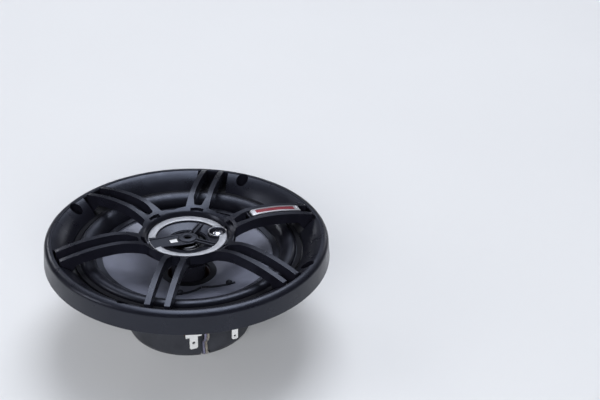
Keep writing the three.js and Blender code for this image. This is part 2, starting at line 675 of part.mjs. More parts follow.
add('terminal_board', terminalBoard(), 'phenolic');
add('positive_tab', terminalTab(POSITIVE_TAB_X, 9.6, 4.8, 28.5, 21.5, 0.8), 'tin');
add('negative_tab', terminalTab(NEGATIVE_TAB_X, 3.7, 3.7, 26.5, 22.1, 0.7), 'tin');
add('positive_rivet', rivet(POSITIVE_TAB_X, RIVET_Y, BOARD_Z - GAP, RIVET_TOP_Z), 'tin');
add('negative_rivet', rivet(NEGATIVE_TAB_X, RIVET_Y, BOARD_Z - GAP, RIVET_TOP_Z), 'tin');
add('board_rivet', rivet(-2, -50, LEDGE_Z - SHEET - GAP, 33.1), 'tin');
add('crossover_capacitor', capacitor(), 'capSleeve');
add('capacitor_wire_left', wire([
  [-5.5, -53.2, 36.1], [-6.4, -53, 36.3], [-7.4, -51.6, 36.2], [-8, -49.4, 35.2],
], 8, CAPACITOR_WIRE_RADIUS, 10), 'tin');
add('capacitor_wire_right', wire([
  [6.1, -53.2, 36.1], [6.3, -51, 36], [5, -48, 34.4], [0, -47.2, 33.6], [-7, -47.2, 33.6],
  [-11.5, -48.2, 34.2], [POSITIVE_TAB_X + 0.6, -49.4, 35],
], 8, CAPACITOR_WIRE_RADIUS, 24), 'tin');
add('tweeter_lead_positive', tweeterLead(-1), 'leadGrey');
add('tweeter_lead_negative', tweeterLead(1), 'leadBrown');

export default speaker;
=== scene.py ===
"""Looks of a coaxial car speaker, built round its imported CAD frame.

Outlines are in millimetres in the part's own frame, and become metres as each mesh is made.
"""

import math

import bmesh
import bpy
from mathutils import Matrix, Vector


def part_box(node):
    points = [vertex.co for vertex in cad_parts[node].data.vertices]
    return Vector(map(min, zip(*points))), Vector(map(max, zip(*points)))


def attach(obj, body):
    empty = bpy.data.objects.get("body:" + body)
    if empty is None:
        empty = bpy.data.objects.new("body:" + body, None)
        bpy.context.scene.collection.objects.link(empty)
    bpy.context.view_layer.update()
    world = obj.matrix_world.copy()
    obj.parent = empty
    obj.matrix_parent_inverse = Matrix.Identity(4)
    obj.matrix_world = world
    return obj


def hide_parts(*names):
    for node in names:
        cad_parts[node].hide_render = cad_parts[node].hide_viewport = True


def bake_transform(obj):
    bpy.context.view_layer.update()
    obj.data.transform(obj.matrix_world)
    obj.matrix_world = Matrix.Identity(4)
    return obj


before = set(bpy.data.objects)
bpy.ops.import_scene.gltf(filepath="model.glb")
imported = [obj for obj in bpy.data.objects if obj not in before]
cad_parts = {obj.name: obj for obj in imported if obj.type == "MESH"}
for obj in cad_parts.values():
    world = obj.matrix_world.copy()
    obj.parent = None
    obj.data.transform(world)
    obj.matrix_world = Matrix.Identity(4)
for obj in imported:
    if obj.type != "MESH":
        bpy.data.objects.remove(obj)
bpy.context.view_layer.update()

MM = 0.001


def low(node_name):
    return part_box(node_name)[0] / MM


def high(node_name):
    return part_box(node_name)[1] / MM


def levels(node_name):
    return low(node_name).z, high(node_name).z


# ---- driving dimensions, in millimetres

PANEL_Z, RIM_Z = levels("trim_ring")
SKIRT_RADIUS = high("trim_ring").x
FLANGE_Z = high("basket").z
FLANGE_RADIUS = high("basket").x
POD_RADIUS = -low("pod_housing").x
BEZEL_Z = high("bezel").z
BOOT_RADIUS = high("magnet_boot").x
LEDGE_Z = low("spider").z + 1 - 0.3

SPOKES = 6
SPOKE_PITCH = 2 * math.pi / SPOKES
ARCH_PEAK_RADIUS = 47.0
ARCH_PEAK_Z = high("spoke_frame").z
SPOKE_DEPTH = 6.5
SPOKE_END = high("spoke_frame").x
FOOT_RADIUS = 76.0
BAR_INNER_SIDE = 4.0
BAR_OUTER_SIDE = 7.2
SLOT_ROOT = 30.5
SLOT_NECK = 2.7
HUB_BORE = 24.5
HUB_OUTER = 28.0
HUB_FILLET = 3.0

NOTCH_RADIUS = 80.75
NOTCH_HALF = 10.0
SCREW_CIRCLE = 78.2
SCREW_RECESS = 3.9
SCREW_HOLE = 2.6
SCREW_ANGLES = [math.radians(degrees) for degrees in (45, 135, 225, 315)]

SUPER_TWEETER = ((low("super_tweeter_cup").x + high("super_tweeter_cup").x) / 2, 0)
FINE = 192  # sides of a large turned piece
SMALL = 64  # sides of a small one


# ---- mesh helpers

def mix(a, b, t):
    return a + (b - a) * t


def polar(radius, angle):
    return radius * math.cos(angle), radius * math.sin(angle)


def rounded(corners, closed=True, steps=5):
    """The outline with its corners rounded. A corner is (radius, z) or (radius, z, fillet)."""
    outline = []
    for i, corner in enumerate(corners):
        point = Vector(corner[:2])
        end_point = not closed and i in (0, len(corners) - 1)
        if len(corner) == 2 or end_point:
            outline.append(point)
            continue
        back = Vector(corners[i - 1][:2]) - point
        ahead = Vector(corners[(i + 1) % len(corners)][:2]) - point
        half = back.angle(ahead) / 2
        reach = min(corner[2] / math.tan(half), 0.49 * back.length, 0.49 * ahead.length)
        radius = reach * math.tan(half)
        bisector = (back.normalized() + ahead.normalized()).normalized()
        centre = point + bisector * (radius / math.sin(half))
        first = point + back.normalized() * reach - centre
        last = point + ahead.normalized() * reach - centre
        start = math.atan2(first.y, first.x)
        turn = (math.atan2(last.y, last.x) - start + math.pi) % (2 * math.pi) - math.pi
        for k in range(steps + 1):
            outline.append(centre + Vector(polar(radius, start + turn * k / steps)))
    return outline


def quarter_arc(radius, steps):
    """Steps round a quarter turn: how far each is from the start, along and across."""
    angles = [math.pi / 2 * k / steps for k in range(1, steps + 1)]
    return [(radius - radius * math.cos(a), radius * math.sin(a)) for a in angles]


def add(name, data):
    """A new object in the scene."""
    thing = bpy.data.objects.new(name, data)
    bpy.context.scene.collection.objects.link(thing)
    return thing


def raw(name, vertices, faces):
    """A mesh object from millimetre vertices."""
    mesh = bpy.data.meshes.new(name)
    mesh.from_pydata([Vector(v) * MM for v in vertices], [], faces)
    return add(name, mesh)


def tidy(piece, sharp=38):
    """Welds doubled vertices, turns faces outwards and marks the sharp edges."""
    bm = bmesh.new()
    bm.from_mesh(piece.data)
    bmesh.ops.remove_doubles(bm, verts=bm.verts, dist=1e-6)
    bmesh.ops.dissolve_degenerate(bm, edges=bm.edges, dist=1e-7)
    bmesh.ops.recalc_face_normals(bm, faces=bm.faces)
    for face in bm.faces:
        face.smooth = True
    for edge in bm.edges:
        edge.smooth = len(edge.link_faces) == 2 and edge.calc_face_angle() < math.radians(sharp)
    bm.to_mesh(piece.data)
    bm.free()


def make(name, vertices, faces, sharp=38):
    """A closed mesh object, smooth except over sharp edges."""
    piece = raw(name, vertices, faces)
    tidy(piece, sharp)
    return piece


def skin(vertices, faces, loops, closed=True):
    """Adds the faces between a row of loops with equally many points."""
    count = len(loops[0])
    first = len(vertices)
    vertices += [point for loop in loops for point in loop]
    for start in range(first, len(vertices) - count, count):
        for i in range(count if closed else count - 1):
            a, b = start + i, start + (i + 1) % count
            faces.append((a, b, b + count, a + count))


def loft(name, loops):
    """A closed piece through a row of loops, capped at both ends."""
    vertices, faces = [], []
    skin(vertices, faces, loops)
    count = len(loops[0])
    faces += [range(count), range(len(vertices) - count, len(vertices))]
    return make(name, vertices, faces)


def turn(outline, angle):
    return [(*polar(radius, angle), z) for radius, z in outline]


def turned(name, corners, segments=FINE, centre=(0, 0), closed=True, sharp=38):
    """A turned piece. An open outline starts and ends on the axis."""
    outline = rounded(corners, closed)
    vertices, faces = [], []
    skin(vertices, faces, [turn(outline, 2 * math.pi * k / segments) for k in range(segments + 1)], closed)
    moved = [(x + centre[0], y + centre[1], z) for x, y, z in vertices]
    return make(name, moved, faces, sharp)


def ring(name, inner, outer, bottom, top, fillets, segments=FINE):
    """A turned ring; its fillets are lower inner, lower outer, upper outer and upper inner."""
    corners = zip((inner, outer, outer, inner), (bottom, bottom, top, top), fillets)
    return turned(name, list(corners), segments)


def rod(name, radius, bottom, top, centre=(0, 0), edge=0.0):
    corners = [(0, bottom), (radius, bottom, edge), (radius, top, edge), (0, top)]
    if not edge:
        corners = [corner[:2] for corner in corners]
    return turned(name, corners, SMALL, centre, closed=False)


def extruded(name, outline, bottom, top):
    """A flat outline of (x, y) points raised from bottom to top."""
    return loft(name, [[(x, y, z) for x, y in outline] for z in (bottom, top)])


def block(name, x, y, z):
    """A rectangular block, used for cutting and as a start for bevelled pieces."""
    return extruded(name, [(x[0], y[0]), (x[1], y[0]), (x[1], y[1]), (x[0], y[1])], *z)


def spin(piece, angle):
    piece.data.transform(Matrix.Rotation(angle, 4, "Z"))
    return piece


def evaluated(piece):
    """The mesh that an object's curve or modifiers make."""
    graph = bpy.context.evaluated_depsgraph_get()
    return bpy.data.meshes.new_from_object(piece.evaluated_get(graph))


def bake(piece):
    mesh = evaluated(piece)
    piece.modifiers.clear()
    piece.data = mesh


def combine(piece, operation, *tools):
    for tool in tools:
        modifier = piece.modifiers.new("boolean", "BOOLEAN")
        modifier.operation = operation
        modifier.solver = "EXACT"
        modifier.object = tool
        bake(piece)
        bpy.data.objects.remove(tool)
    tidy(piece)


def cut(piece, *tools):
    combine(piece, "DIFFERENCE", *tools)


def join(piece, *tools):
    combine(piece, "UNION", *tools)


def steady(piece):
    """Keeps flat faces flat beside their rounded edges."""
    modifier = piece.modifiers.new("normals", "WEIGHTED_NORMAL")
    modifier.keep_sharp = True
    modifier.weight = 80


def bevel(piece, width, angle=40):
    modifier = piece.modifiers.new("bevel", "BEVEL")
    modifier.width = width * MM
    modifier.segments = 3
    modifier.limit_method = "ANGLE"
    modifier.angle_limit = math.radians(angle)
    modifier.miter_outer = "MITER_ARC"
    bake(piece)
    tidy(piece)
    steady(piece)
    return piece


def softened(piece, width):
    """The piece with bevelled edges, ready to be joined to another."""
    bake(bevel(piece, width))
    return piece


def tube(name, points, radius, sides=16):
    """A round wire along a smooth curve through the points."""
    curve = bpy.data.curves.new(name, "CURVE")
    curve.dimensions = "3D"
    curve.resolution_u = 8
    curve.bevel_depth = radius * MM
    curve.bevel_resolution = sides // 4
    curve.use_fill_caps = True
    spline = curve.splines.new("NURBS")
    spline.points.add(len(points) - 1)
    for point, (x, y, z) in zip(spline.points, points):
        point.co = (x * MM, y * MM, z * MM, 1)
    spline.order_u = 4
    spline.use_endpoint_u = True
    holder = add(name, curve)
    mesh = evaluated(holder)
    bpy.data.objects.remove(holder)
    piece = add(name, mesh)
    tidy(piece)
    return piece


def finish(piece, material, slot, *nodes, body="chassis"):
    """Gives a piece its material and the body it rides, and hides the nodes it stands for. The slot is not
    used.
    """
    piece.data.materials.clear()
    piece.data.materials.append(material)
    if body:
        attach(piece, body)
    if nodes:
        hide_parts(*nodes)
    return piece


# ---- materials

BLUISH = (0.78, 0.84, 1.0, 1)


def shader_of(material):
    return material.node_tree.nodes["Principled BSDF"]


def new_material(name, colour, roughness, metallic=0.0, **sockets):
    material = bpy.data.materials.new(name)
    material.use_nodes = True
    sockets.update(Base_Color=(*colour, 1), Roughness=roughness, Metallic=metallic)
    for socket, value in sockets.items():
        shader_of(material).inputs[socket.replace("_", " ")].default_value = value
    return material


def node(material, kind, output, inputs=(), **settings):
    """A node's output, once its settings and inputs are in place."""
    made = material.node_tree.nodes.new(kind)
    for key, value in settings.items():
        setattr(made, key, value)
    for key, value in dict(inputs).items():
        if isinstance(value, bpy.types.NodeSocket):
            material.node_tree.links.new(value, made.inputs[key])
        else:
            made.inputs[key].default_value = value
    return made.outputs[output]


def link(material, output, socket):
    material.node_tree.links.new(output, shader_of(material).inputs[socket])


def place(material, stretch=(1, 1, 1)):
    coordinates = node(material, "ShaderNodeTexCoord", "Object")
    return node(material, "ShaderNodeMapping", "Vector", {"Vector": coordinates, "Scale": stretch})


def noise(material, size, detail=3.0, stretch=(1, 1, 1), roughness=0.5):
    """Noise whose features are about size millimetres across."""
    return node(material, "ShaderNodeTexNoise", "Fac", {
        "Vector": place(material, stretch), "Scale": 1 / (size * MM), "Detail": detail,
        "Roughness": roughness,
    })


def waves(material, size, distortion, detail=2.0, detail_scale=1.0, **settings):
    return node(material, "ShaderNodeTexWave", "Fac", {
        "Vector": place(material), "Scale": 1 / (size * MM), "Distortion": distortion, "Detail": detail,
        "Detail Scale": detail_scale,
    }, **settings)


def spread(material, factor, low_value, high_value, start=0.3, end=0.7):
    return node(material, "ShaderNodeMapRange", "Result", {
        "Value": factor, "From Min": start, "From Max": end, "To Min": low_value, "To Max": high_value,
    })


def product(material, a, b):
    return node(material, "ShaderNodeMath", "Value", {0: a, 1: b}, operation="MULTIPLY")


def tones(material, factor, colour, dark, light, start=0.3, end=0.7):
    """The colour, moving from its dark share to its light share with a factor."""
    tone = node(material, "ShaderNodeValToRGB", "Color", {"Fac": factor})
    for element, position, share in zip(tone.node.color_ramp.elements, (start, end), (dark, light)):
        element.position = position
        element.color = (*[c * share for c in colour], 1)
    return tone


def bump(material, height, depth, strength, under=None):
    """A bump of depth millimetres, on top of another bump if one is given."""
    inputs = {"Height": height, "Distance": depth * MM, "Strength": strength}
    if under is not None:
        inputs["Normal"] = under
    return node(material, "ShaderNodeBump", "Normal", inputs)


def tint(material, *tone):
    link(material, tones(material, *tone), "Base Color")


def gloss(material, *values):
    link(material, spread(material, *values), "Roughness")


def relief(material, *height):
    link(material, bump(material, *height), "Normal")


def rubbed(material, base, amount, bare):
    """The base colour, with a bare one on convex edges, broken up by noise."""
    edges = node(material, "ShaderNodeNewGeometry", "Pointiness")
    worn = spread(material, edges, 0, amount, 0.51, 0.60)
    share = product(material, worn, spread(material, noise(material, 6), 0.35, 1))
    mixed = node(material, "ShaderNodeMixRGB", "Color", {"Fac": share, "Color1": base, "Color2": (*bare, 1)})
    link(material, mixed, "Base Color")


def moulded(name, colour, roughness, grain=0.35, depth=0.02):
    """Moulded plastic: spark-eroded grain, faint flow marks, edges rubbed slightly lighter."""
    material = new_material(name, colour, roughness, Specular_Tint=BLUISH)
    base = tones(material, noise(material, 22, 4), colour, 0.86, 1.14)
    rubbed(material, base, 0.25, [c * 4 for c in colour])
    gloss(material, noise(material, 9, 5), roughness - 0.05, roughness + 0.07)
    grain_bump = bump(material, noise(material, grain, 2), depth, 0.6)
    relief(material, noise(material, 14, 2, (1, 1, 3)), 0.05, 0.25, grain_bump)
    return material


def smooth_rubber(name, colour, roughness):
    """Moulded rubber: dull, with a faint bloom and fine pits."""
    material = new_material(name, colour, roughness, Specular_Tint=BLUISH)
    tint(material, noise(material, 12, 5, roughness=0.6), colour, 0.8, 1.35, 0.35, 0.75)
    gloss(material, noise(material, 5, 4), roughness - 0.06, roughness + 0.1)
    pits = bump(material, noise(material, 0.25, 2), 0.012, 0.5)
    relief(material, noise(material, 8, 2), 0.06, 0.2, pits)
    return material


def moulded_film(name, colour, roughness):
    """Polypropylene sheet: satin, with fine rings from the mould and a soft mottling."""
    material = new_material(name, colour, roughness)
    tint(material, noise(material, 16, 5, roughness=0.55), colour, 0.85, 1.15)
    gloss(material, noise(material, 7, 4), roughness - 0.06, roughness + 0.08)
    rings = waves(material, 9, 0.4, 1.0, wave_type="RINGS", rings_direction="Z")
    fine = bump(material, noise(material, 0.3, 2), 0.008, 0.6)
    relief(material, rings, 0.012, 0.35, fine)
    return material


def brushed(name, colour, roughness, depth=0.006):
    """Brushed or turned metal: fine lines round the axis."""
    material = new_material(name, colour, roughness, 1.0)
    lines = waves(material, 1.1, 2.2, 3.0, 2.5, wave_type="RINGS", rings_direction="Z")
    tint(material, noise(material, 4, 5), colour, 0.84, 1.1)
    gloss(material, lines, roughness - 0.06, roughness + 0.1)
    relief(material, lines, depth, 0.5)
    return material


def bright_metal(name, colour, roughness, metallic=1.0):
    """Plated metal: nearly mirror-like, with faint waviness and small smudges."""
    material = new_material(name, colour, roughness, metallic)
    smudge = noise(material, 3, 6, roughness=0.65)
    tint(material, smudge, colour, 0.9, 1)
    gloss(material, smudge, roughness, roughness + 0.12, 0.45, 0.75)
    relief(material, noise(material, 2.5, 2), 0.012, 0.35)
    return material


def painted(name, colour, roughness):
    """Black paint over pressed steel: a little orange peel, and rubbed edges."""
    material = new_material(name, colour, roughness, Coat_Weight=0.25, Coat_Roughness=0.2)
    rubbed(material, tones(material, noise(material, 10, 5), colour, 0.85, 1.2), 0.3, (0.16, 0.16, 0.165))
    gloss(material, noise(material, 6, 4), roughness - 0.08, roughness + 0.1)
    relief(material, noise(material, 1.1, 2), 0.02, 0.4)
    return material


def foam(name, colour):
    """Closed-cell foam: small cells and no gloss."""
    material = new_material(name, colour, 0.95, Specular_IOR_Level=0.2)
    placed = {"Vector": place(material), "Scale": 1 / (0.5 * MM)}
    cells = node(material, "ShaderNodeTexVoronoi", "Distance", placed)
    tint(material, cells, colour, 0.6, 1.3, 0.1, 0.7)
    relief(material, cells, 0.12, 0.8)
    return material


def grained(name, colour, roughness, grain, shares, height, metallic=0.0, **sockets):
    """A grain of noise in the colour, with a bump from the same grain or from a finer one."""
    material = new_material(name, colour, roughness, metallic, **sockets)
    coarse = noise(material, *grain)
    tint(material, coarse, colour, *shares)
    fine_size, depth = height
    relief(material, noise(material, fine_size) if fine_size else coarse, depth, 0.5)
    return material


def woven(name, colour):
    """Resin-stiffened cloth: crossed threads."""
    material = new_material(name, colour, 0.85, Sheen_Weight=0.2)
    threads = [waves(material, 2.2, 0.5, bands_direction=axis) for axis in ("X", "Y")]
    weave = product(material, *threads)
    tint(material, weave, colour, 0.7, 1.2, 0.0, 0.8)
    relief(material, weave, 0.08, 0.7)
    return material


def insulation(name, colour):
    """Soft wire insulation: satin, slightly uneven."""
    return grained(name, colour, 0.42, (3, 4), (0.82, 1.15), (0.6, 0.02), Subsurface_Weight=0.05)


def lacquered(name, colour, roughness):
    """Glossy lacquer over a fine metallic grain."""
    coat = {"Coat_Weight": 0.6, "Coat_Roughness": 0.08}
    return grained(name, colour, roughness, (0.3, 3, (0.12, 1, 1)), (0.7, 1.5), (None, 0.006), 0.35, **coat)


TRIM = moulded("trim_plastic", (0.0055, 0.0055, 0.0085), 0.30)
POD = moulded("pod_plastic", (0.010, 0.010, 0.014), 0.28, grain=0.25, depth=0.012)
GUARD = moulded("guard_plastic", (0.009, 0.009, 0.012), 0.46, grain=0.3)
RUBBER = smooth_rubber("surround_rubber", (0.006, 0.006, 0.009), 0.34)
BOOT = smooth_rubber("boot_rubber", (0.034, 0.035, 0.040), 0.5)
CONE = moulded_film("cone_film", (0.14, 0.148, 0.19), 0.42)
FOAM = foam("gasket_foam", (0.006, 0.006, 0.008))
PAINT = painted("basket_paint", (0.011, 0.011, 0.013), 0.36)
ZINC = brushed("zinc_steel", (0.62, 0.62, 0.58), 0.36)
FERRITE = grained("ferrite", (0.05, 0.05, 0.055), 0.7, (0.5, 5, (1, 1, 1), 0.8), (0.7, 1.3), (None, 0.03))
COPPER = brushed("copper_wire", (0.72, 0.35, 0.18), 0.34)
# Painted shade: the Kapton former is darkened nearly to black to stand in for the deep shade round the neck
# under the pod.
SHADED_FORMER = lacquered("former_film_painted_shade", (0.022, 0.009, 0.006), 0.4)
CLOTH = woven("spider_cloth", (0.36, 0.27, 0.09))
SILVER = brushed("bezel_silver", (0.52, 0.52, 0.525), 0.40, depth=0.002)
CHROME = bright_metal("polished_rim", (0.82, 0.82, 0.84), 0.08)
DOME = bright_metal("polished_dome", (0.66, 0.66, 0.68), 0.17)
SATIN = bright_metal("satin_rim", (0.46, 0.46, 0.47), 0.34)
FILM = bright_metal("dome_film", (0.06, 0.06, 0.062), 0.18)
TIN = bright_metal("tin_plate", (0.86, 0.86, 0.84), 0.30, 0.4)
RED = lacquered("badge_red", (0.24, 0.024, 0.033), 0.3)
BADGE_METAL = bright_metal("badge_metal", (0.74, 0.73, 0.73), 0.36)
BOARD = grained("phenolic_board", (0.10, 0.045, 0.018), 0.5, (0.9, 5, (0.15, 1, 1)), (0.75, 1.35),
                (0.4, 0.015))
GLUE = smooth_rubber("glue", (0.005, 0.005, 0.006), 0.5)
SLEEVE = lacquered("capacitor_sleeve", (0.03, 0.05, 0.13), 0.3)
LEAD_GREY = insulation("lead_violet_grey", (0.16, 0.15, 0.22))
LEAD_BROWN = insulation("lead_grey_brown", (0.26, 0.23, 0.19))


# ---- camera, floor and lights

def set_camera():
    """A 72 mm lens to the left of the terminals, with the rim's centre below and left of its axis."""
    azimuth = math.radians(-113.2)
    elevation = math.radians(29.56)
    roll = math.radians(1.51)
    distance, aim_right, aim_up = 725.7, 68.0, 20.2
    back = Vector((*polar(math.cos(elevation), azimuth), math.sin(elevation)))
    level = Vector((-math.sin(azimuth), math.cos(azimuth), 0))
    upright = back.cross(level)
    right = level * math.cos(roll) + upright * math.sin(roll)
    up = upright * math.cos(roll) - level * math.sin(roll)
    rim = Vector((0, 0, 64))
    stand = (rim + back * distance + right * aim_right + up * aim_up) * MM
    data = bpy.data.cameras.new("camera")
    data.lens = 72
    data.sensor_width = 36
    data.clip_start = 0.01
    data.clip_end = 30
    camera = add("camera", data)
    camera.matrix_world = Matrix.Translation(stand) @ Matrix((right, up, back)).transposed().to_4x4()
    bpy.context.scene.camera = camera


def area_light(name, location, target, size, power, colour, seen=True, lights=True):
    """A soft box aimed at a point; it may only light surfaces, or only be reflected in them."""
    data = bpy.data.lights.new(name, "AREA")
    data.shape = "RECTANGLE"
    data.size, data.size_y = size
    data.energy = power
    data.color = colour
    light = add(name, data)
    light.visible_glossy = seen
    light.visible_diffuse = lights
    light.location = location
    light.rotation_mode = "QUATERNION"
    light.rotation_quaternion = (Vector(target) - Vector(location)).to_track_quat("-Z", "Y")


def set_world():
    """Dim blue-grey surroundings with one broad bright patch, high up behind the speaker."""
    world = bpy.data.worlds.new("studio")
    world.use_nodes = True
    aim = {0: node(world, "ShaderNodeTexCoord", "Generated"), 1: (0.19, 0.38, 0.905)}
    towards = node(world, "ShaderNodeVectorMath", "Value", aim, operation="DOT_PRODUCT")
    strength = node(world, "ShaderNodeMapRange", "Result", {
        "Value": towards, "From Min": 0.64, "From Max": 0.92, "To Min": 0.09, "To Max": 0.45,
    }, interpolation_type="SMOOTHSTEP")
    background = world.node_tree.nodes["Background"]
    background.inputs["Color"].default_value = BLUISH
    world.node_tree.links.new(strength, background.inputs["Strength"])
    bpy.context.scene.world = world


def set_stage():
    size = 6 / MM
    corners = [(-size, -size, 0), (size, -size, 0), (size, size, 0), (-size, size, 0)]
    floor = raw("floor", corners, [(0, 1, 2, 3)])
    paper = (0.70, 0.70, 0.69)
    pale = new_material("floor_paper", paper, 0.75)
    tint(pale, noise(pale, 400, 3), paper, 0.9857, 1.0143)
    floor.data.materials.append(pale)
    set_world()
    base, seat, over = (0, 0, 0), (0, 0, 0.05), (0.04, 0.10, 0)
    area_light("key_box", (0.5, 0.9, 2.0), base, (1.3, 1.2), 33, (0.90, 0.93, 1.0), seen=False)
    area_light("key_glint", (0.48, 0.865, 1.92), base, (1.25, 1.15), 21, (0.86, 0.90, 1.0), lights=False)
    area_light("front_fill", (-0.9, -2.1, 1.25), base, (2.0, 0.9), 64, (0.93, 0.95, 1.0), seen=False)
    area_light("left_box", (-1.6, 0.3, 1.0), (0, 0, 0.03), (0.5, 0.9), 5, (0.96, 0.96, 1.0))
    area_light("back_strip", (-0.5, 1.55, 0.87), seat, (0.22, 0.22), 2.0, (0.97, 0.97, 1.0))
    area_light("overhead", (0.04, 0.10, 2.0), over, (1.0, 0.9), 11, (0.80, 0.86, 1.0), lights=False)
    area_light("right_strip", (1.3, 0.95, 0.55), seat, (0.35, 0.4), 0.8, (0.95, 0.96, 1.0))
    bpy.context.scene.view_settings.view_transform = "Standard"


set_camera()
set_stage()


# ---- trim ring

def annulus_z(radius):
    """The trim's slope inside the rim, steeper towards its inner edge."""
    inward = 80.8 - radius
    return RIM_Z - 0.6 - 0.4 * inward - 0.0403 * inward ** 2


def trim_outline():
    """One loop from the notch's top edge out over the rim, down the skirt, back in and round."""
    crest_radius, crest_width, crest_height = 81.1, 4.4, 3.2
    inner_edge, lip_thickness, skirt_inner = 70.0, 1.5, 84.6
    outside = [(NOTCH_RADIUS, annulus_z(NOTCH_RADIUS)), (80.9, annulus_z(80.8), 0.15),
               (81.0, RIM_Z - 0.1, 0.12)]
    for k in range(1, 13):
        cosine, sine = polar(1, math.pi / 2 * k / 12)
        outside.append((crest_radius + crest_width * sine, RIM_Z - crest_height * (1 - cosine)))
    outside += [
        (SKIRT_RADIUS, PANEL_Z, 0.3), (skirt_inner, PANEL_Z, 0.3), (skirt_inner, 56), (84.0, 60.4, 0.8),
        (83, 61.5, 0.5), (NOTCH_RADIUS, 61.3),
    ]
    below = [(radius, annulus_z(radius) - lip_thickness) for radius in (80, 78, 76, 74, 72)]
    above = [(radius, annulus_z(radius)) for radius in (72, 74, 76, 78, 79, 80)]
    tip = rounded([below[-1], (inner_edge, annulus_z(inner_edge) - 1.3, 0.5),
                   (inner_edge, annulus_z(inner_edge), 0.5), above[0]], closed=False)
    front = [tuple(p) for p in rounded(outside, closed=False)]
    return front, below[:-1] + [tuple(p) for p in tip] + above[1:]


def trim_ring():
    """Six sectors of the whole section, joined behind the notches by the rim and skirt alone."""
    front, inner = trim_outline()
    loop = front + inner
    sector_columns, notch_columns = 36, 10
    end_angle = math.asin(NOTCH_HALF / NOTCH_RADIUS)
    vertices, faces = [], []
    for k in range(SPOKES):
        middle = k * SPOKE_PITCH
        notch = [turn(front, middle + mix(-end_angle, end_angle, j / notch_columns))
                 for j in range(notch_columns + 1)]
        skin(vertices, faces, notch)
        first = len(vertices)
        sector = []
        for j in range(sector_columns + 1):
            column = []
            for radius, z in loop:
                edge = math.asin(NOTCH_HALF / min(radius, NOTCH_RADIUS))
                angle = middle + mix(edge, SPOKE_PITCH - edge, j / sector_columns)
                column.append((*polar(radius, angle), z))
            sector.append(column)
        skin(vertices, faces, sector)
        for start in (first, len(vertices) - len(loop)):
            open_side = [*range(len(front) - 1, len(loop)), 0]
            faces.append([start + i for i in open_side])
    piece = make("trim_ring_shell", vertices, faces)
    bevel(piece, 0.6, angle=60)
    piece.modifiers.clear()
    screw_bosses(piece)
    steady(piece)
    finish(piece, TRIM, "trim_plastic", "trim_ring")


def screw_bosses(piece):
    """Four bosses that end in the slope, each with a recess for the screw's head and a hole."""
    wall, recess_floor, hole = 1.3, 55.6, 2.4
    slope = [(radius, annulus_z(radius) - 0.1) for radius in (80.5, 79, 77, 75, 73, 71)]
    for angle in SCREW_ANGLES:
        centre = polar(SCREW_CIRCLE, angle)
        boss = rod("boss", SCREW_RECESS + wall, FLANGE_Z + 0.3, 62, centre)
        combine(boss, "INTERSECT", turned("slope", [(66, 50), (83, 50), (83, 62), *slope, (66, 51)]))
        join(piece, boss)
        recess = [(0, 50), (hole, 50), (hole, recess_floor), (SCREW_RECESS, recess_floor),
                  (SCREW_RECESS, 70), (0, 70)]
        cut(piece, turned("recess", recess, SMALL, centre, closed=False))


trim_ring()


# ---- spoke frame

def arch_z(radius):
    """The spokes' top: one parabola towards the hub and one towards the rim."""
    inward = radius < ARCH_PEAK_RADIUS
    reach, drop = (22.5, 6.5) if inward else (34.0, 5.2)
    return ARCH_PEAK_Z - drop * ((radius - ARCH_PEAK_RADIUS) / reach) ** 2


def bar_depth(radius):
    """How thick the spokes are, and how far the feet reach to the flange."""
    ramp_start = 70.0
    t = min(max((radius - ramp_start) / (FOOT_RADIUS - ramp_start), 0), 1)
    return mix(SPOKE_DEPTH, arch_z(radius) - FLANGE_Z - 0.3, t)


def along(path, share):
    """The point at a share of a path's length."""
    lengths = [math.dist(a, b) for a, b in zip(path, path[1:])]
    left = share * sum(lengths)
    for (a, b), length in zip(zip(path, path[1:]), lengths):
        if left <= length + 1e-9:
            t = left / length
            return mix(a[0], b[0], t), mix(a[1], b[1], t)
        left -= length
    return path[-1]


# Radii of the hub's rows along the spoke and half-way to the next one, and how far the rounded
# lip of its bore lies below the arch in each row.
HUB_ALONG = [HUB_BORE, 24.75, 25.15, 25.65, 26.2, 27.0, 27.8, 28.8]
HUB_BETWEEN = [HUB_BORE, 24.75, 25.15, 25.65, 26.1, 26.5, 26.9, 27.4]
LIP_DROP = [2.2, 1.35, 0.75, 0.3, 0.06]
HUB_ROWS, TURN_ROWS, BAR_ROWS, COLUMNS = len(HUB_ALONG), 12, 30, 14
POCKET_ROWS, POCKET_COLUMNS, POCKET_DEPTH = range(4, 7), 4, 2.2
TURN_END = 32.0


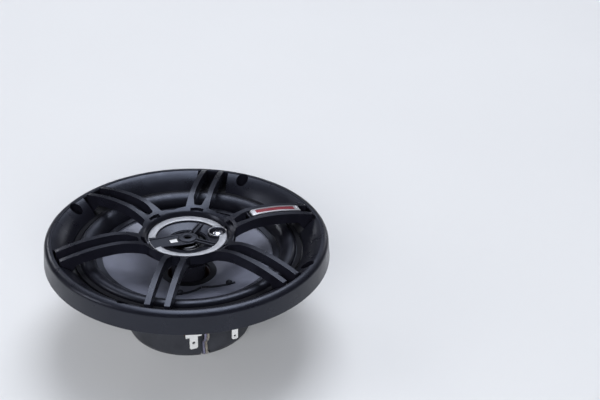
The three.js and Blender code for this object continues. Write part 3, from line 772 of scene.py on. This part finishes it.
def half_spoke_rows():
    """Rows of (x, y) over half a spoke, from the hub's bore to the bar's end."""
    half_pitch = SPOKE_PITCH / 2
    centre_y = BAR_OUTER_SIDE + HUB_FILLET
    centre_x = math.sqrt((HUB_OUTER + HUB_FILLET) ** 2 - centre_y ** 2)
    fillet_start = math.atan2(centre_y, centre_x)
    slot_side = 1.2
    slot_path = [(SLOT_ROOT, 0), (SLOT_ROOT, slot_side)]
    slot_path += [(SLOT_ROOT + x, slot_side + y) for x, y in quarter_arc(1.5, 6)]
    hub_path = [polar(HUB_OUTER, mix(half_pitch, fillet_start, k / 10)) for k in range(11)]
    for k in range(1, 9):
        x, y = polar(HUB_FILLET, mix(fillet_start + math.pi, 1.5 * math.pi, k / 8))
        hub_path.append((centre_x + x, centre_y + y))
    hub_path.append((TURN_END, BAR_OUTER_SIDE))
    pairs = [((left, 0), polar(right, half_pitch), 0) for left, right in zip(HUB_ALONG, HUB_BETWEEN)]
    for i in range(TURN_ROWS + 1):
        t = i / TURN_ROWS
        pairs.append((along(slot_path, t), along(hub_path, t), t))
    for i in range(1, BAR_ROWS + 1):
        x = mix(TURN_END, SPOKE_END, i / BAR_ROWS)
        opened = min((x - TURN_END) / 5, 1)
        pairs.append(((x, mix(SLOT_NECK, BAR_INNER_SIDE, opened)), (x, BAR_OUTER_SIDE), 1))
    rows = []
    for left, right, gathered in pairs:
        row = []
        for j in range(COLUMNS + 1):
            t = j / COLUMNS
            inner = 0.22 + 0.56 * (j - 1) / (COLUMNS - 2)
            t = mix(t, inner if 0 < j < COLUMNS else t, gathered)
            angle = mix(math.atan2(left[1], left[0]), math.atan2(right[1], right[0]), t)
            row.append(polar(mix(math.hypot(*left), math.hypot(*right), t), angle))
        rows.append(row)
    return rows


def spoke_mesh():
    """Twelve half spokes, each two layers with walls between them, and the pockets' faces."""
    rows = half_spoke_rows()
    vertices, faces, pocket = [], [], []
    for k in range(2 * SPOKES):
        side = 1 - 2 * (k % 2)
        top, bottom = [], []
        for i, row in enumerate(rows):
            lip = LIP_DROP[i] if i < len(LIP_DROP) else 0
            spots = [(math.hypot(x, y), k // 2 * SPOKE_PITCH + side * math.atan2(y, x)) for x, y in row]
            top.append([(*polar(*spot), arch_z(spot[0]) - lip) for spot in spots])
            bottom.append([(*polar(*spot), arch_z(spot[0]) - bar_depth(spot[0])) for spot in spots])
        pocket += [len(faces) + i * COLUMNS + j for i in POCKET_ROWS for j in range(POCKET_COLUMNS)]
        skin(vertices, faces, top, closed=False)
        skin(vertices, faces, bottom, closed=False)
        for j in (0, COLUMNS):
            wall = [[row[j] for row in layer[HUB_ROWS:]] for layer in (top, bottom)]
            skin(vertices, faces, wall, closed=False)
        for i in (0, -1):
            skin(vertices, faces, [top[i], bottom[i]], closed=False)
    return vertices, faces, pocket


def sink_pockets(piece, pocket_faces):
    """Presses the marked faces down, which makes the hub's six pockets."""
    bm = bmesh.new()
    bm.from_mesh(piece.data)
    bm.faces.ensure_lookup_table()
    chosen = [bm.faces[i] for i in pocket_faces]
    bmesh.ops.remove_doubles(bm, verts=bm.verts, dist=1e-6)
    made = bmesh.ops.extrude_face_region(bm, geom=chosen)
    moved = [v for v in made["geom"] if isinstance(v, bmesh.types.BMVert)]
    bmesh.ops.translate(bm, verts=moved, vec=(0, 0, -POCKET_DEPTH * MM))
    bmesh.ops.delete(bm, geom=[f for f in chosen if f.is_valid], context="FACES")
    bm.to_mesh(piece.data)
    bm.free()
    tidy(piece)


SEAT_START, SEAT_END, SEAT_HALF = 39, 75, 4.3


def badge_seat():
    """The web under the badge, between the bars of the first spoke."""
    drop, thickness = 2.3, 2
    loops = []
    for i in range(17):
        x = mix(SEAT_START, SEAT_END, i / 16)
        top = arch_z(x) - drop
        loops.append([(x, -SEAT_HALF, top), (x, SEAT_HALF, top),
                      (x, SEAT_HALF, top - thickness), (x, -SEAT_HALF, top - thickness)])
    return loft("seat", loops)


def spoke_frame():
    vertices, faces, pocket = spoke_mesh()
    piece = raw("spoke_frame_shell", vertices, faces)
    sink_pockets(piece, pocket)
    bevel(piece, 0.36, angle=42)
    piece.modifiers.clear()
    wall_top = arch_z(SEAT_START + 0.6) - 0.5
    wall_x = (SEAT_START, SEAT_START + 1.2)
    wall = block("seat_wall", wall_x, (-SEAT_HALF, SEAT_HALF), (wall_top - 4, wall_top))
    join(piece, badge_seat(), softened(wall, 0.25))
    cut(piece, rod("clearance", 6.3, 50, 72, SUPER_TWEETER))
    steady(piece)
    finish(piece, TRIM, "trim_plastic", "spoke_frame")


spoke_frame()


# ---- badge

BADGE_START = low("badge_frame").x
BADGE_END = high("badge_frame").x
BADGE_HALF = high("badge_frame").y
BADGE_GAP = 0.3
FRAME_WIDTH = 0.95


def badge_outline(corner, step=1.5):
    """A long rounded rectangle, its sides divided so that it can follow the arch."""
    end, start, half = BADGE_END - corner, BADGE_START + corner, BADGE_HALF - BADGE_GAP - corner
    points = []
    for quarter, (x, y) in enumerate(((end, half), (start, half), (start, -half), (end, -half))):
        for k in range(5):
            across, up = polar(corner, math.pi / 2 * (quarter + k / 4))
            points.append((x + across, y + up))
    fine = []
    for a, b in zip(points, points[1:] + points[:1]):
        pieces = max(1, round(math.dist(a, b) / step))
        fine += [(mix(a[0], b[0], k / pieces), mix(a[1], b[1], k / pieces)) for k in range(pieces)]
    return fine


def badge_frame():
    """A thin bright frame: loops that follow the arch, from its outer foot to its inner foot."""
    outer = badge_outline(1.2)
    middle = (BADGE_START + BADGE_END) / 2
    half_length = (BADGE_END - BADGE_START) / 2
    section = ((0, -2.0), (0, 0.25), (0.25, 0.5), (0.75, 0.5), (FRAME_WIDTH, 0.3), (FRAME_WIDTH, -0.6))
    loops = []
    for inset, lift in section:
        shrunk = [(middle + (x - middle) * (1 - inset / half_length), y * (1 - inset / BADGE_HALF))
                  for x, y in outer]
        loops.append([(x, y, arch_z(x) + lift) for x, y in shrunk])
    finish(loft("badge_frame_band", loops), BADGE_METAL, "silver", "badge_frame")


def badge_sheet(name, x_range, y_range, lift, material, slot):
    """A thin sheet that follows the arch, slightly crowned across."""
    rows, columns, crown, thickness = 34, 10, 0.15, 0.6
    across = [mix(*y_range, j / columns) for j in range(columns + 1)]
    loops = []
    for i in range(rows + 1):
        x = mix(*x_range, i / rows)
        face = [(x, y, arch_z(x) + lift + crown * (1 - (y / BADGE_HALF) ** 2)) for y in across]
        loops.append(face + [(x, y, z - thickness) for x, y, z in reversed(face)])
    finish(loft(name, loops), material, slot, "badge_plate")


def badge_plate():
    """A polished face with a plain red stripe along its far side."""
    margin = 3.4
    far = BADGE_HALF - BADGE_GAP - FRAME_WIDTH
    ends = (BADGE_START + FRAME_WIDTH, BADGE_END - FRAME_WIDTH)
    badge_sheet("badge_face", ends, (-far, far), 0.1, BADGE_METAL, "silver")
    stripe_ends = (BADGE_START + margin, BADGE_END - margin)
    badge_sheet("badge_stripe", stripe_ends, (-1.3, far - 0.2), 0.14, RED, "badge_red")


badge_frame()
badge_plate()


# ---- basket and gaskets

def screw_holes(piece):
    for angle in SCREW_ANGLES:
        cut(piece, rod("hole", SCREW_HOLE, 50, 56, polar(SCREW_CIRCLE, angle)))


def basket():
    """A pressed shell with six windows, a bracket for the terminal board and four screw holes."""
    sheet = 1.2
    base = low("basket").z
    shell = turned("basket_shell", [
        (15.5, base, 0.4), (35.2, base, 1.2), (37.2, LEDGE_Z - sheet, 1.2), (41.8, LEDGE_Z - sheet, 2.0),
        (63.8, 51.4, 2.5), (64.9, FLANGE_Z - sheet, 1.5), (FLANGE_RADIUS, FLANGE_Z - sheet, 0.4),
        (FLANGE_RADIUS, FLANGE_Z, 0.4), (64.2, FLANGE_Z, 1.2), (62.9, 52.2, 1.5), (41.2, LEDGE_Z, 1.2),
        (36.6, LEDGE_Z, 1.2), (34.8, base + sheet, 1.2), (15.5, base + sheet, 0.4),
    ])
    window = rounded([(-15, 33.5, 3.0), (15, 33.5, 3.0), (22, 49, 3.0), (-22, 49, 3.0)], steps=6)
    for k in range(SPOKES):
        opening = loft("window", [[(x, y, z) for y, z in window] for x in (36, 76)])
        cut(shell, spin(opening, k * SPOKE_PITCH))
    join(shell, block("bracket", (-10.5, 6), (-53.5, -39.5), (LEDGE_Z - sheet, LEDGE_Z)))
    cut(shell, rod("hole", 1.3, 28, 33, (-2, -50)))
    screw_holes(shell)
    finish(shell, PAINT, "black_paint", "basket")


def gaskets():
    rear = ring("rear_gasket_ring", 66, 83.5, PANEL_Z, high("rear_gasket").z, [0.2] * 4)
    screw_holes(rear)
    finish(rear, FOAM, "foam", "rear_gasket")
    front = ring("front_gasket_ring", 66.4, 69.3, *levels("front_gasket"), (0.15, 0.15, 0.25, 0.25))
    finish(front, FOAM, "foam", "front_gasket")


basket()
gaskets()


# ---- cone, surround, spider and coil

CONE_NECK_Z = high("voice_coil_former").z
CONE_EDGE_RADIUS = high("cone").x
CONE_EDGE_Z = high("cone").z
CONE_BOW = 1.6
NECK_RADIUS = 13.0
EYELET_CIRCLE = 35.3
EYELET_DEGREES = {"positive": -115.5, "negative": -64.5}


def cone_z(radius):
    """The cone's front face: nearly straight, bowed a little forward."""
    t = (radius - NECK_RADIUS) / (CONE_EDGE_RADIUS - NECK_RADIUS)
    return mix(CONE_NECK_Z, CONE_EDGE_Z, t) + CONE_BOW * t * (1 - t)


def cone():
    thickness, start = 0.8, 14.4
    radii = [mix(start, CONE_EDGE_RADIUS, k / 18) for k in range(19)]
    front = [(radius, cone_z(radius)) for radius in radii]
    back = [(radius, z - thickness) for radius, z in reversed(front)]
    neck = [(14.0, 33.0, 0.2), (13.1, 33.0, 0.2), (13.1, 35.9, 0.3)]
    corners = front[:-1] + [(*front[-1], 0.3), (*back[0], 0.3)] + back[1:] + neck
    finish(turned("cone_body", corners), CONE, "cone_film", "cone", body="cone_assembly")


def blended_sectors(name, face, thickness, material, slot):
    """A ring between cone and chassis, made in sectors."""
    sectors, facets = 24, 8
    outline = face + [(radius, z + thickness) for radius, z in reversed(face)]
    pitch = 2 * math.pi / sectors
    for k in range(sectors):
        loops = [turn(outline, (k - 0.5 + i / facets) * pitch) for i in range(facets + 1)]
        piece = finish(loft(f"{name}_{k:02d}", loops), material, slot, name, body=None)
        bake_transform(piece)


def surround():
    """The inner land on the cone, the half roll and the outer land on the flange."""
    inner, outer = (55.4, 50.6), (65.8, 54.4)
    rise = high("surround").z - (inner[1] + outer[1]) / 2
    face = [(51.6, inner[1]), (53.5, inner[1])]
    for k in range(25):
        roll = math.pi * k / 24
        share = (1 - math.cos(roll)) / 2
        face.append((mix(inner[0], outer[0], share), mix(inner[1], outer[1], share) + rise * math.sin(roll)))
    face += [(67.5, outer[1]), (69.3, outer[1])]
    blended_sectors("surround", face, -0.7, RUBBER, "soft_rubber")


def spider():
    """A flat land on the former, three waves that fade at both ends, and a land on the ledge."""
    level = LEDGE_Z + 0.3
    first, last = 16, 35
    wave = [(13.3, level), (15, level)]
    for k in range(61):
        t = k / 60
        height = math.sin(t * 6 * math.pi) * min(1, 5 * t, 5 * (1 - t))
        wave.append((mix(first, last, t), level + height))
    wave += [(36, level), (40.6, level)]
    blended_sectors("spider", wave, 0.5, CLOTH, "spider_cloth")


def coil():
    # The former's near-black colour is painted shade, not the film's own amber.
    former = ring("voice_coil_former_tube", 12.7, 13, *levels("voice_coil_former"), [0.05] * 4)
    finish(former, SHADED_FORMER, "kapton", "voice_coil_former", body="cone_assembly")
    bottom, top = levels("voice_coil_winding")
    turns, wire_radius, wire_centre = 26, 0.25, 13.35
    pitch = (top - bottom) / turns
    outline = [(13.1, bottom), (wire_centre, bottom)]
    for k in range(turns):
        for step in range(1, 5):
            cosine, sine = polar(1, math.pi * step / 5)
            outline.append((wire_centre + wire_radius * sine, bottom + pitch * (k + (1 - cosine) / 2)))
    outline += [(wire_centre, top), (13.1, top)]
    winding = turned("voice_coil_turns", outline, 96, sharp=80)
    finish(winding, COPPER, "copper", "voice_coil_winding", body="cone_assembly")


def eyelets():
    """A glue blob over each eyelet, and the lead's tail glued down the cone towards the neck."""
    for side, away in (("positive", -1), ("negative", 1)):
        node_name = f"eyelet_{side}"
        centre = (low(node_name) + high(node_name)) / 2
        bottom, top = levels(node_name)
        corners = [(0, bottom - 1.4), (2.0, bottom - 1.1, 0.4), (1.9, bottom + 0.3, 0.8),
                   (0.9, top, 0.6), (0, top)]
        blob = turned(f"{node_name}_blob", corners, 32, centre.xy, closed=False)
        finish(blob, GLUE, "glue", node_name, body="cone_assembly")
        angle = math.atan2(centre.y, centre.x)
        tail = []
        for k in range(9):
            t = k / 8
            radius = mix(EYELET_CIRCLE + 3, 25, t)
            tail.append((*polar(radius, angle + away * mix(0.06, -0.42, t)), cone_z(radius) + 0.3))
        finish(tube(f"{node_name}_tail", tail, 0.75, 12), GLUE, "glue", body="cone_assembly")


def neck_glue_and_shade():
    """The black bead that joins cone, former and spider: partly real glue, and partly painted shade that
    darkens the cone round the neck where the pod's shade falls.
    """
    corners = [(13.15, 36.0), (14.2, cone_z(14.2) - 0.1), (17.2, cone_z(17.2) - 0.15),
               (17.4, cone_z(17.4) + 0.15, 0.3), (15.4, cone_z(15.4) + 0.8, 1.5), (13.15, 37.4, 0.5)]
    finish(turned("neck_glue_bead", corners), GLUE, "glue", body="cone_assembly")


cone()
surround()
spider()
coil()
eyelets()
neck_glue_and_shade()


# ---- magnet, post and boot

def boot():
    """The rubber cup, with a slot for the leads in its underside."""
    inside, floor_top, lip_z = 37, 2.2, 22.2
    piece = turned("magnet_boot_cup", [
        (24, 0, 0.5), (37.2, 0, 1.6), (BOOT_RADIUS, 2.8, 2.5), (BOOT_RADIUS, lip_z, 0.6),
        (inside, lip_z, 0.4), (inside, floor_top, 0.4), (24, floor_top, 0.5),
    ])
    cut(piece, block("slot", (-5.2, 0.4), (-40, -20), (-1, 3.7)))
    finish(piece, BOOT, "boot_rubber", "magnet_boot")


def motor():
    bottom, top = levels("back_plate")
    rim, plate_top, pole, bore, nut_bore = 36, 7, 12.2, 5.6, 8.6
    plate = turned("back_plate_pole", [
        (nut_bore, bottom, 0.3), (rim, bottom, 0.6), (rim, plate_top, 0.6), (pole, plate_top, 0.5),
        (pole, top, 0.4), (bore, top, 0.3), (bore, bottom + 3), (nut_bore, bottom + 3),
    ])
    finish(plate, ZINC, "zinc_steel", "back_plate")
    magnet = ring("ferrite_ring", 17, 36.5, *levels("ferrite_magnet"), (0.5, 0.8, 0.8, 0.5))
    finish(magnet, FERRITE, "ferrite", "ferrite_magnet")
    front = ring("front_plate_ring", 14.2, rim, *levels("top_plate"), (0.2, 0.5, 0.5, 0.3))
    finish(front, ZINC, "zinc_steel", "top_plate")


def post():
    bottom, top = levels("pod_post")
    shoulder = high("back_plate").z + 0.3
    piece = turned("pod_post_column", [
        (2.2, bottom, 0.2), (5.2, bottom, 0.4), (5.2, shoulder), (10.4, shoulder, 0.5),
        (10.4, top - 2.2, 0.8), (9.4, top, 0.6), (2.2, top, 0.2),
    ])
    finish(piece, POD, "pod_plastic", "pod_post")
    nut = extruded("post_nut_hex", [polar(8.1, k * math.pi / 3) for k in range(6)], *levels("post_nut"))
    cut(nut, rod("bore", 5.5, 0, 9))
    bevel(nut, 0.35)
    finish(nut, ZINC, "zinc_steel", "post_nut")


boot()
motor()
post()


# ---- tweeter pod

DISH_EDGE = 19.0
DISH_CLEARANCE = 6.1  # radius of the hole for the super tweeter
OPENING = 12.0
SEAT_Z = BEZEL_Z - 1.1


def pod_housing():
    bottom, inside_z = low("pod_housing").z, 49.3
    piece = turned("pod_housing_shell", [
        (2.6, bottom, 0.3), (13.6, bottom, 1.2), (POD_RADIUS, 56.4, 1.6), (POD_RADIUS, SEAT_Z, 0.3),
        (DISH_EDGE, SEAT_Z, 0.15), (DISH_EDGE - 0.15, 60.7, 0.1), (OPENING, 59.3, 0.4),
        (OPENING, inside_z, 0.4), (2.6, inside_z, 0.3),
    ])
    cut(piece, rod("hole", DISH_CLEARANCE, 52.7, 66, SUPER_TWEETER))
    finish(piece, POD, "pod_plastic", "pod_housing")


def bezel():
    """The silver ring with its thin bright edges, notched for the guard's wide arm."""
    bottom = low("bezel").z
    face = ring("bezel_face", 19.4, 23.3, bottom, BEZEL_Z - 0.15, (0.1, 0.1, 0.08, 0.08))
    edge = turned("bezel_edge", [
        (23.25, bottom, 0.1), (23.9, bottom, 0.1), (23.9, BEZEL_Z - 0.25, 0.2), (23.6, BEZEL_Z, 0.2),
        (23.25, BEZEL_Z, 0.15)])
    lip = turned("bezel_lip", [
        (19.2, bottom, 0.1), (19.45, bottom, 0.1), (19.5, BEZEL_Z - 0.05, 0.12), (19.2, BEZEL_Z - 0.3, 0.15)])
    wedge = [(0, 0)] + [polar(23.34, math.radians(164 + 2 * k)) for k in range(17)]
    for piece in (face, lip):
        cut(piece, extruded("notch", wedge, 55, 70))
    for piece in (face, lip, edge):
        cut(piece, rod("hole", DISH_CLEARANCE, 55, 70, SUPER_TWEETER))
    finish(face, SILVER, "silver", "bezel")
    finish(edge, SATIN, "silver")
    finish(lip, SATIN, "silver")


def sagged(piece, bottom, fall):
    """The piece with its top lowered towards the guard's middle, where the arms dip under the boss."""
    for vertex in piece.data.vertices:
        share = min(1, max(0, (vertex.co.x / MM + 19) / 13))
        if vertex.co.z > (bottom + 0.1) * MM:
            vertex.co.z -= fall * share * MM
    return piece


def tweeter_guard():
    """The bored boss, the wide arm with its two ribs and window, and two narrow forked arms."""
    bottom = low("tweeter_guard").z
    boss = turned("guard_boss", [
        (1.9, bottom, 0.2), (6.6, bottom, 0.2), (6.5, 60.75, 0.2), (5.7, 60.8, 0.2), (5.4, 61.6, 0.4),
        (3.2, 61.9, 0.5), (2.6, 61.8, 0.3), (1.9, 61.0, 0.3),
    ], 96)
    arm_end, fork_end = -23.2, 18.4
    far_side = [(-3, 5.6), (-6, 6.0), (-13, 5.6), (arm_end, 5.2)]
    web_outline = far_side + [(x, -y) for x, y in reversed(far_side)]
    web = sagged(extruded("web", web_outline, bottom, 61.15), bottom, 0.6)
    cut(web, block("window", (-11.2, -6.4), (-2.1, 2.1), (55, 66)))
    pieces = [softened(web, 0.25)]
    for side in (1, -1):
        rib = [(0, 5.6), (0, 6.6), (-5, 6.4), (-13, 5.8), (arm_end, 5.3), (arm_end, 4.4), (-13, 4.8),
               (-5, 5.3)]
        arm = extruded("rib", [(x, side * y) for x, y in rib], bottom, 61.85)
        pieces.append(softened(sagged(arm, bottom, 1.05), 0.3))
    for angle in (math.radians(46), math.radians(-46)):
        for side in (1.3, -1.3):
            fork = block("fork", (4.2, fork_end), (side - 0.45, side + 0.45), (bottom, 61.35))
            pieces.append(softened(spin(fork, angle), 0.2))
        floor = block("floor", (8.6, fork_end), (-0.95, 0.95), (bottom, bottom + 0.2))
        pieces.append(spin(floor, angle))
    join(boss, *pieces)
    steady(boss)
    finish(boss, GUARD, "pod_plastic", "tweeter_guard")
    tag = block("tweeter_tag", (-11.8, -5.9), (-2.6, 2.6), (bottom - 0.35, bottom - 0.02))
    finish(bevel(tag, 0.1), TIN, "tin")


def dome_shell(name, radius, edge, base, height, segments, centre=(0, 0)):
    """A domed shell with a rolled edge and a flat rim."""
    thickness = 0.3
    angles = [math.pi / 2 * 0.93 * k / 14 for k in range(15)]
    outside = [(radius * math.sin(a), base + thickness + height * math.cos(a)) for a in angles]
    inside = [((radius - thickness) * math.sin(a), base + height * math.cos(a)) for a in reversed(angles)]
    middle = (radius + edge) / 2
    roll = [(radius + 0.5, base + thickness - 0.1), (middle, base + thickness + 0.45),
            (edge - 0.4, base + thickness), (edge, base + thickness), (edge, base), (edge - 0.4, base),
            (middle, base + 0.3), (radius, base - 0.1)]
    return turned(name, outside + roll + inside, segments, centre, closed=False, sharp=80)


def tweeter():
    bottom, top = levels("tweeter_rim")
    rim = turned("tweeter_rim_ring", [
        (11.2, bottom, 0.2), (11.9, bottom, 0.2), (11.9, top, 0.3), (11.35, top, 0.2)])
    finish(rim, POD, "pod_plastic", "tweeter_rim")
    dome = dome_shell("tweeter_dome_shell", 8.4, 10.8, low("tweeter_dome").z, 2.1, 128)
    finish(dome, FILM, "dome_film", "tweeter_dome", body="tweeter_diaphragm")
    winding = ring("tweeter_coil_tube", 7.8, 8.3, *levels("tweeter_coil"), [0.1] * 4, 96)
    finish(winding, COPPER, "copper", "tweeter_coil", body="tweeter_diaphragm")
    cup = turned("tweeter_cup_shell", [
        (0, 49.6), (11.6, 49.6, 0.5), (11.6, 56.4, 0.3), (9, 56.4, 0.3), (9, 50.9, 0.3), (0, 50.9),
    ], 96, closed=False)
    finish(cup, ZINC, "zinc_steel", "tweeter_cup")
    finish(rod("tweeter_magnet_disc", 6.8, 51.2, 54, edge=0.3), CHROME, "polished", "tweeter_magnet")
    finish(rod("tweeter_pole_disc", 7.3, 54.3, 55.8, edge=0.25), ZINC, "zinc_steel", "tweeter_pole_plate")


def super_tweeter():
    bottom, top = levels("super_tweeter_cup")
    cup = turned("super_tweeter_cup_shell", [
        (0, bottom), (5.7, bottom, 0.4), (5.7, top, 0.2), (4.7, top, 0.2), (4.5, bottom + 1, 0.4),
        (0, bottom + 1),
    ], 96, SUPER_TWEETER, closed=False)
    finish(cup, POD, "pod_plastic", "super_tweeter_cup")
    bottom, top = levels("super_tweeter_bezel")
    rim = turned("super_tweeter_rim", [
        (5.1, bottom, 0.1), (5.8, bottom, 0.1), (5.8, top - 0.3, 0.25), (5.45, top, 0.2),
        (5.1, top - 0.2, 0.15),
    ], 96, SUPER_TWEETER)
    finish(rim, SATIN, "polished", "super_tweeter_bezel")
    throat = turned("super_tweeter_throat", [
        (4.5, bottom, 0.1), (5.1, bottom, 0.1), (5.1, top - 0.3, 0.1), (4.7, top - 0.5, 0.2),
    ], 96, SUPER_TWEETER)
    finish(throat, POD, "pod_plastic")
    base = low("super_tweeter_dome").z
    dome = dome_shell("super_tweeter_dome_shell", 3.4, 4.3, base, 1.9, 96, SUPER_TWEETER)
    finish(dome, DOME, "polished", "super_tweeter_dome")
    disc = rod("super_tweeter_piezo_disc", 4.2, *levels("super_tweeter_piezo"), SUPER_TWEETER, edge=0.1)
    finish(disc, TIN, "tin", "super_tweeter_piezo")


pod_housing()
bezel()
tweeter_guard()
tweeter()
super_tweeter()


# ---- terminals, capacitor and leads

def board():
    plate = block("terminal_board_plate", *zip(low("terminal_board"), high("terminal_board")))
    finish(bevel(plate, 0.2), BOARD, "phenolic", "terminal_board")


def tab(side, shoulder, shoulder_height, blade, hole):
    """A pressed tab: its foot on the board, the bend, the shoulders and the blade, in one strip."""
    node_name = f"{side}_tab"
    near, far = low(node_name), high(node_name)
    centre_x = (near.x + far.x) / 2
    front, tip, top = near.y, near.z, far.z
    thickness, bend, chamfer = 0.8, 1.2, 0.7
    shoulder_z = tip + shoulder_height
    stations = [
        (front, tip, blade / 2 - chamfer), (front, tip + chamfer, blade / 2), (front, shoulder_z, blade / 2),
        (front, shoulder_z + 0.01, shoulder / 2), (front, top - bend, shoulder / 2),
    ]
    stations += [(front + y, top - bend + z, shoulder / 2) for y, z in quarter_arc(bend, 6)]
    stations.append((far.y, top, shoulder / 2))
    loops = []
    for i, (y, z, half) in enumerate(stations):
        before, after = stations[max(i - 1, 0)], stations[min(i + 1, len(stations) - 1)]
        tangent = Vector((after[0] - before[0], after[1] - before[1])).normalized()
        inner_y = y + tangent.y * thickness
        inner_z = z - tangent.x * thickness
        loops.append([(centre_x - half, y, z), (centre_x + half, y, z),
                      (centre_x + half, inner_y, inner_z), (centre_x - half, inner_y, inner_z)])
    piece = loft(f"{node_name}_strip", loops)
    eye = rod("eye", hole, -2, 2)
    eye.data.transform(Matrix.Rotation(math.pi / 2, 4, "X"))
    eye.data.transform(Matrix.Translation(Vector((centre_x, front, (tip + shoulder_z) / 2)) * MM))
    cut(piece, eye)
    finish(piece, TIN, "tin", node_name)


def rivets():
    for name in ("positive_rivet", "negative_rivet", "board_rivet"):
        bottom, top = levels(name)
        corners = [(0, bottom), (1.3, bottom, 0.4), (1.9, bottom + 0.7, 0.2), (1.0, bottom + 0.75),
                   (1.0, top - 0.75), (1.9, top - 0.7, 0.2), (1.4, top, 0.5), (0, top)]
        centre = ((low(name) + high(name)) / 2).xy
        finish(turned(f"{name}_pin", corners, 32, centre, closed=False), TIN, "tin", name)


def capacitor():
    near, far = low("crossover_capacitor"), high("crossover_capacitor")
    half = (far.x - near.x) / 2
    corners = [(0, -half), (2.4, -half, 0.2), (2.7, 0.35 - half, 0.3), (3.0, 0.9 - half, 0.4),
               (3.0, half - 2.2, 0.3), (2.75, half - 1.8, 0.3), (3.0, half - 1.3, 0.3),
               (2.9, half - 0.2, 0.4), (2.4, half, 0.2), (0, half)]
    can = turned("capacitor_can", corners, 48, closed=False)
    can.data.transform(Matrix.Rotation(math.pi / 2, 4, "Y"))
    can.data.transform(Matrix.Translation((near + far) / 2 * MM))
    finish(can, SLEEVE, "cap_sleeve", "crossover_capacitor")
    pins = {
        "left": [(-5.5, -53.2, 36.1), (-6.4, -53, 36.3), (-7.4, -51.6, 36.2), (-8, -49.4, 35.2)],
        "right": [(6.1, -53.2, 36.1), (6.3, -51, 36), (5, -48, 34.4), (0, -47.2, 33.6), (-7, -47.2, 33.6),
                  (-11.5, -48.2, 34.2), (-14.8, -49.4, 35)],
    }
    for side, route in pins.items():
        wire = tube(f"capacitor_wire_{side}_pin", route, 0.35, 12)
        finish(wire, TIN, "tin", f"capacitor_wire_{side}")


def tweeter_leads():
    """The flat twin lead: over the board's edge, down the boot, under it and up the post."""
    route = [
        (-7.6, -50.5, 34.2), (-7.8, -54.5, 34.4), (-7.8, -57.2, 33.2), (-7.7, -57.9, 30.6), (-7.2, -56.6, 27),
        (-6, -51.5, 21.5), (-4.6, -44.5, 16.2), (-3.6, -40.6, 11.5), (-3, -39.7, 6.5), (-2.7, -39.5, 3),
        (-2.6, -37.8, 1.25), (-2.4, -34, 1.1), (-1.8, -24, 1.1), (-0.9, -11, 1.1), (-0.3, -4, 1.2),
        (0, -0.9, 2.6), (0, 0, 6), (0, 0, 16), (0, 0, 32), (0, 0, 48.6),
    ]
    half_pitch, radius = 0.8, 0.75
    for name, side, material, slot in (("tweeter_lead_positive", -1, LEAD_GREY, "lead_grey"),
                                       ("tweeter_lead_negative", 1, LEAD_BROWN, "lead_brown")):
        core = tube(f"{name}_core", [(x + side * half_pitch, y, z) for x, y, z in route], radius)
        finish(core, material, slot, name)


def tinsel_leads():
    """Braided leads from the cone to the tabs."""
    for side, degrees in EYELET_DEGREES.items():
        node_name = f"tinsel_lead_{side}"
        x, y = polar(EYELET_CIRCLE, math.radians(degrees))
        start = cone_z(EYELET_CIRCLE) - 2.0
        board_x = (low(f"{side}_tab").x + high(f"{side}_tab").x) / 2
        points = [(x, y, start), (x, y - 1.5, start - 3), (x * 0.97, y - 5, start - 6.5),
                  (board_x * 1.12, -42, 35.4), (board_x * 1.05, -46, 34.4), (board_x, -48.8, 34.6)]
        braid = finish(tube(f"{node_name}_braid", points, 0.55), COPPER, "copper", node_name, body=None)
        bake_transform(braid)


board()
tab("positive", 9.6, 8.2, 4.8, 1.0)
tab("negative", 3.7, 4.4, 3.7, 0.8)
rivets()
capacitor()
tweeter_leads()
tinsel_leads()
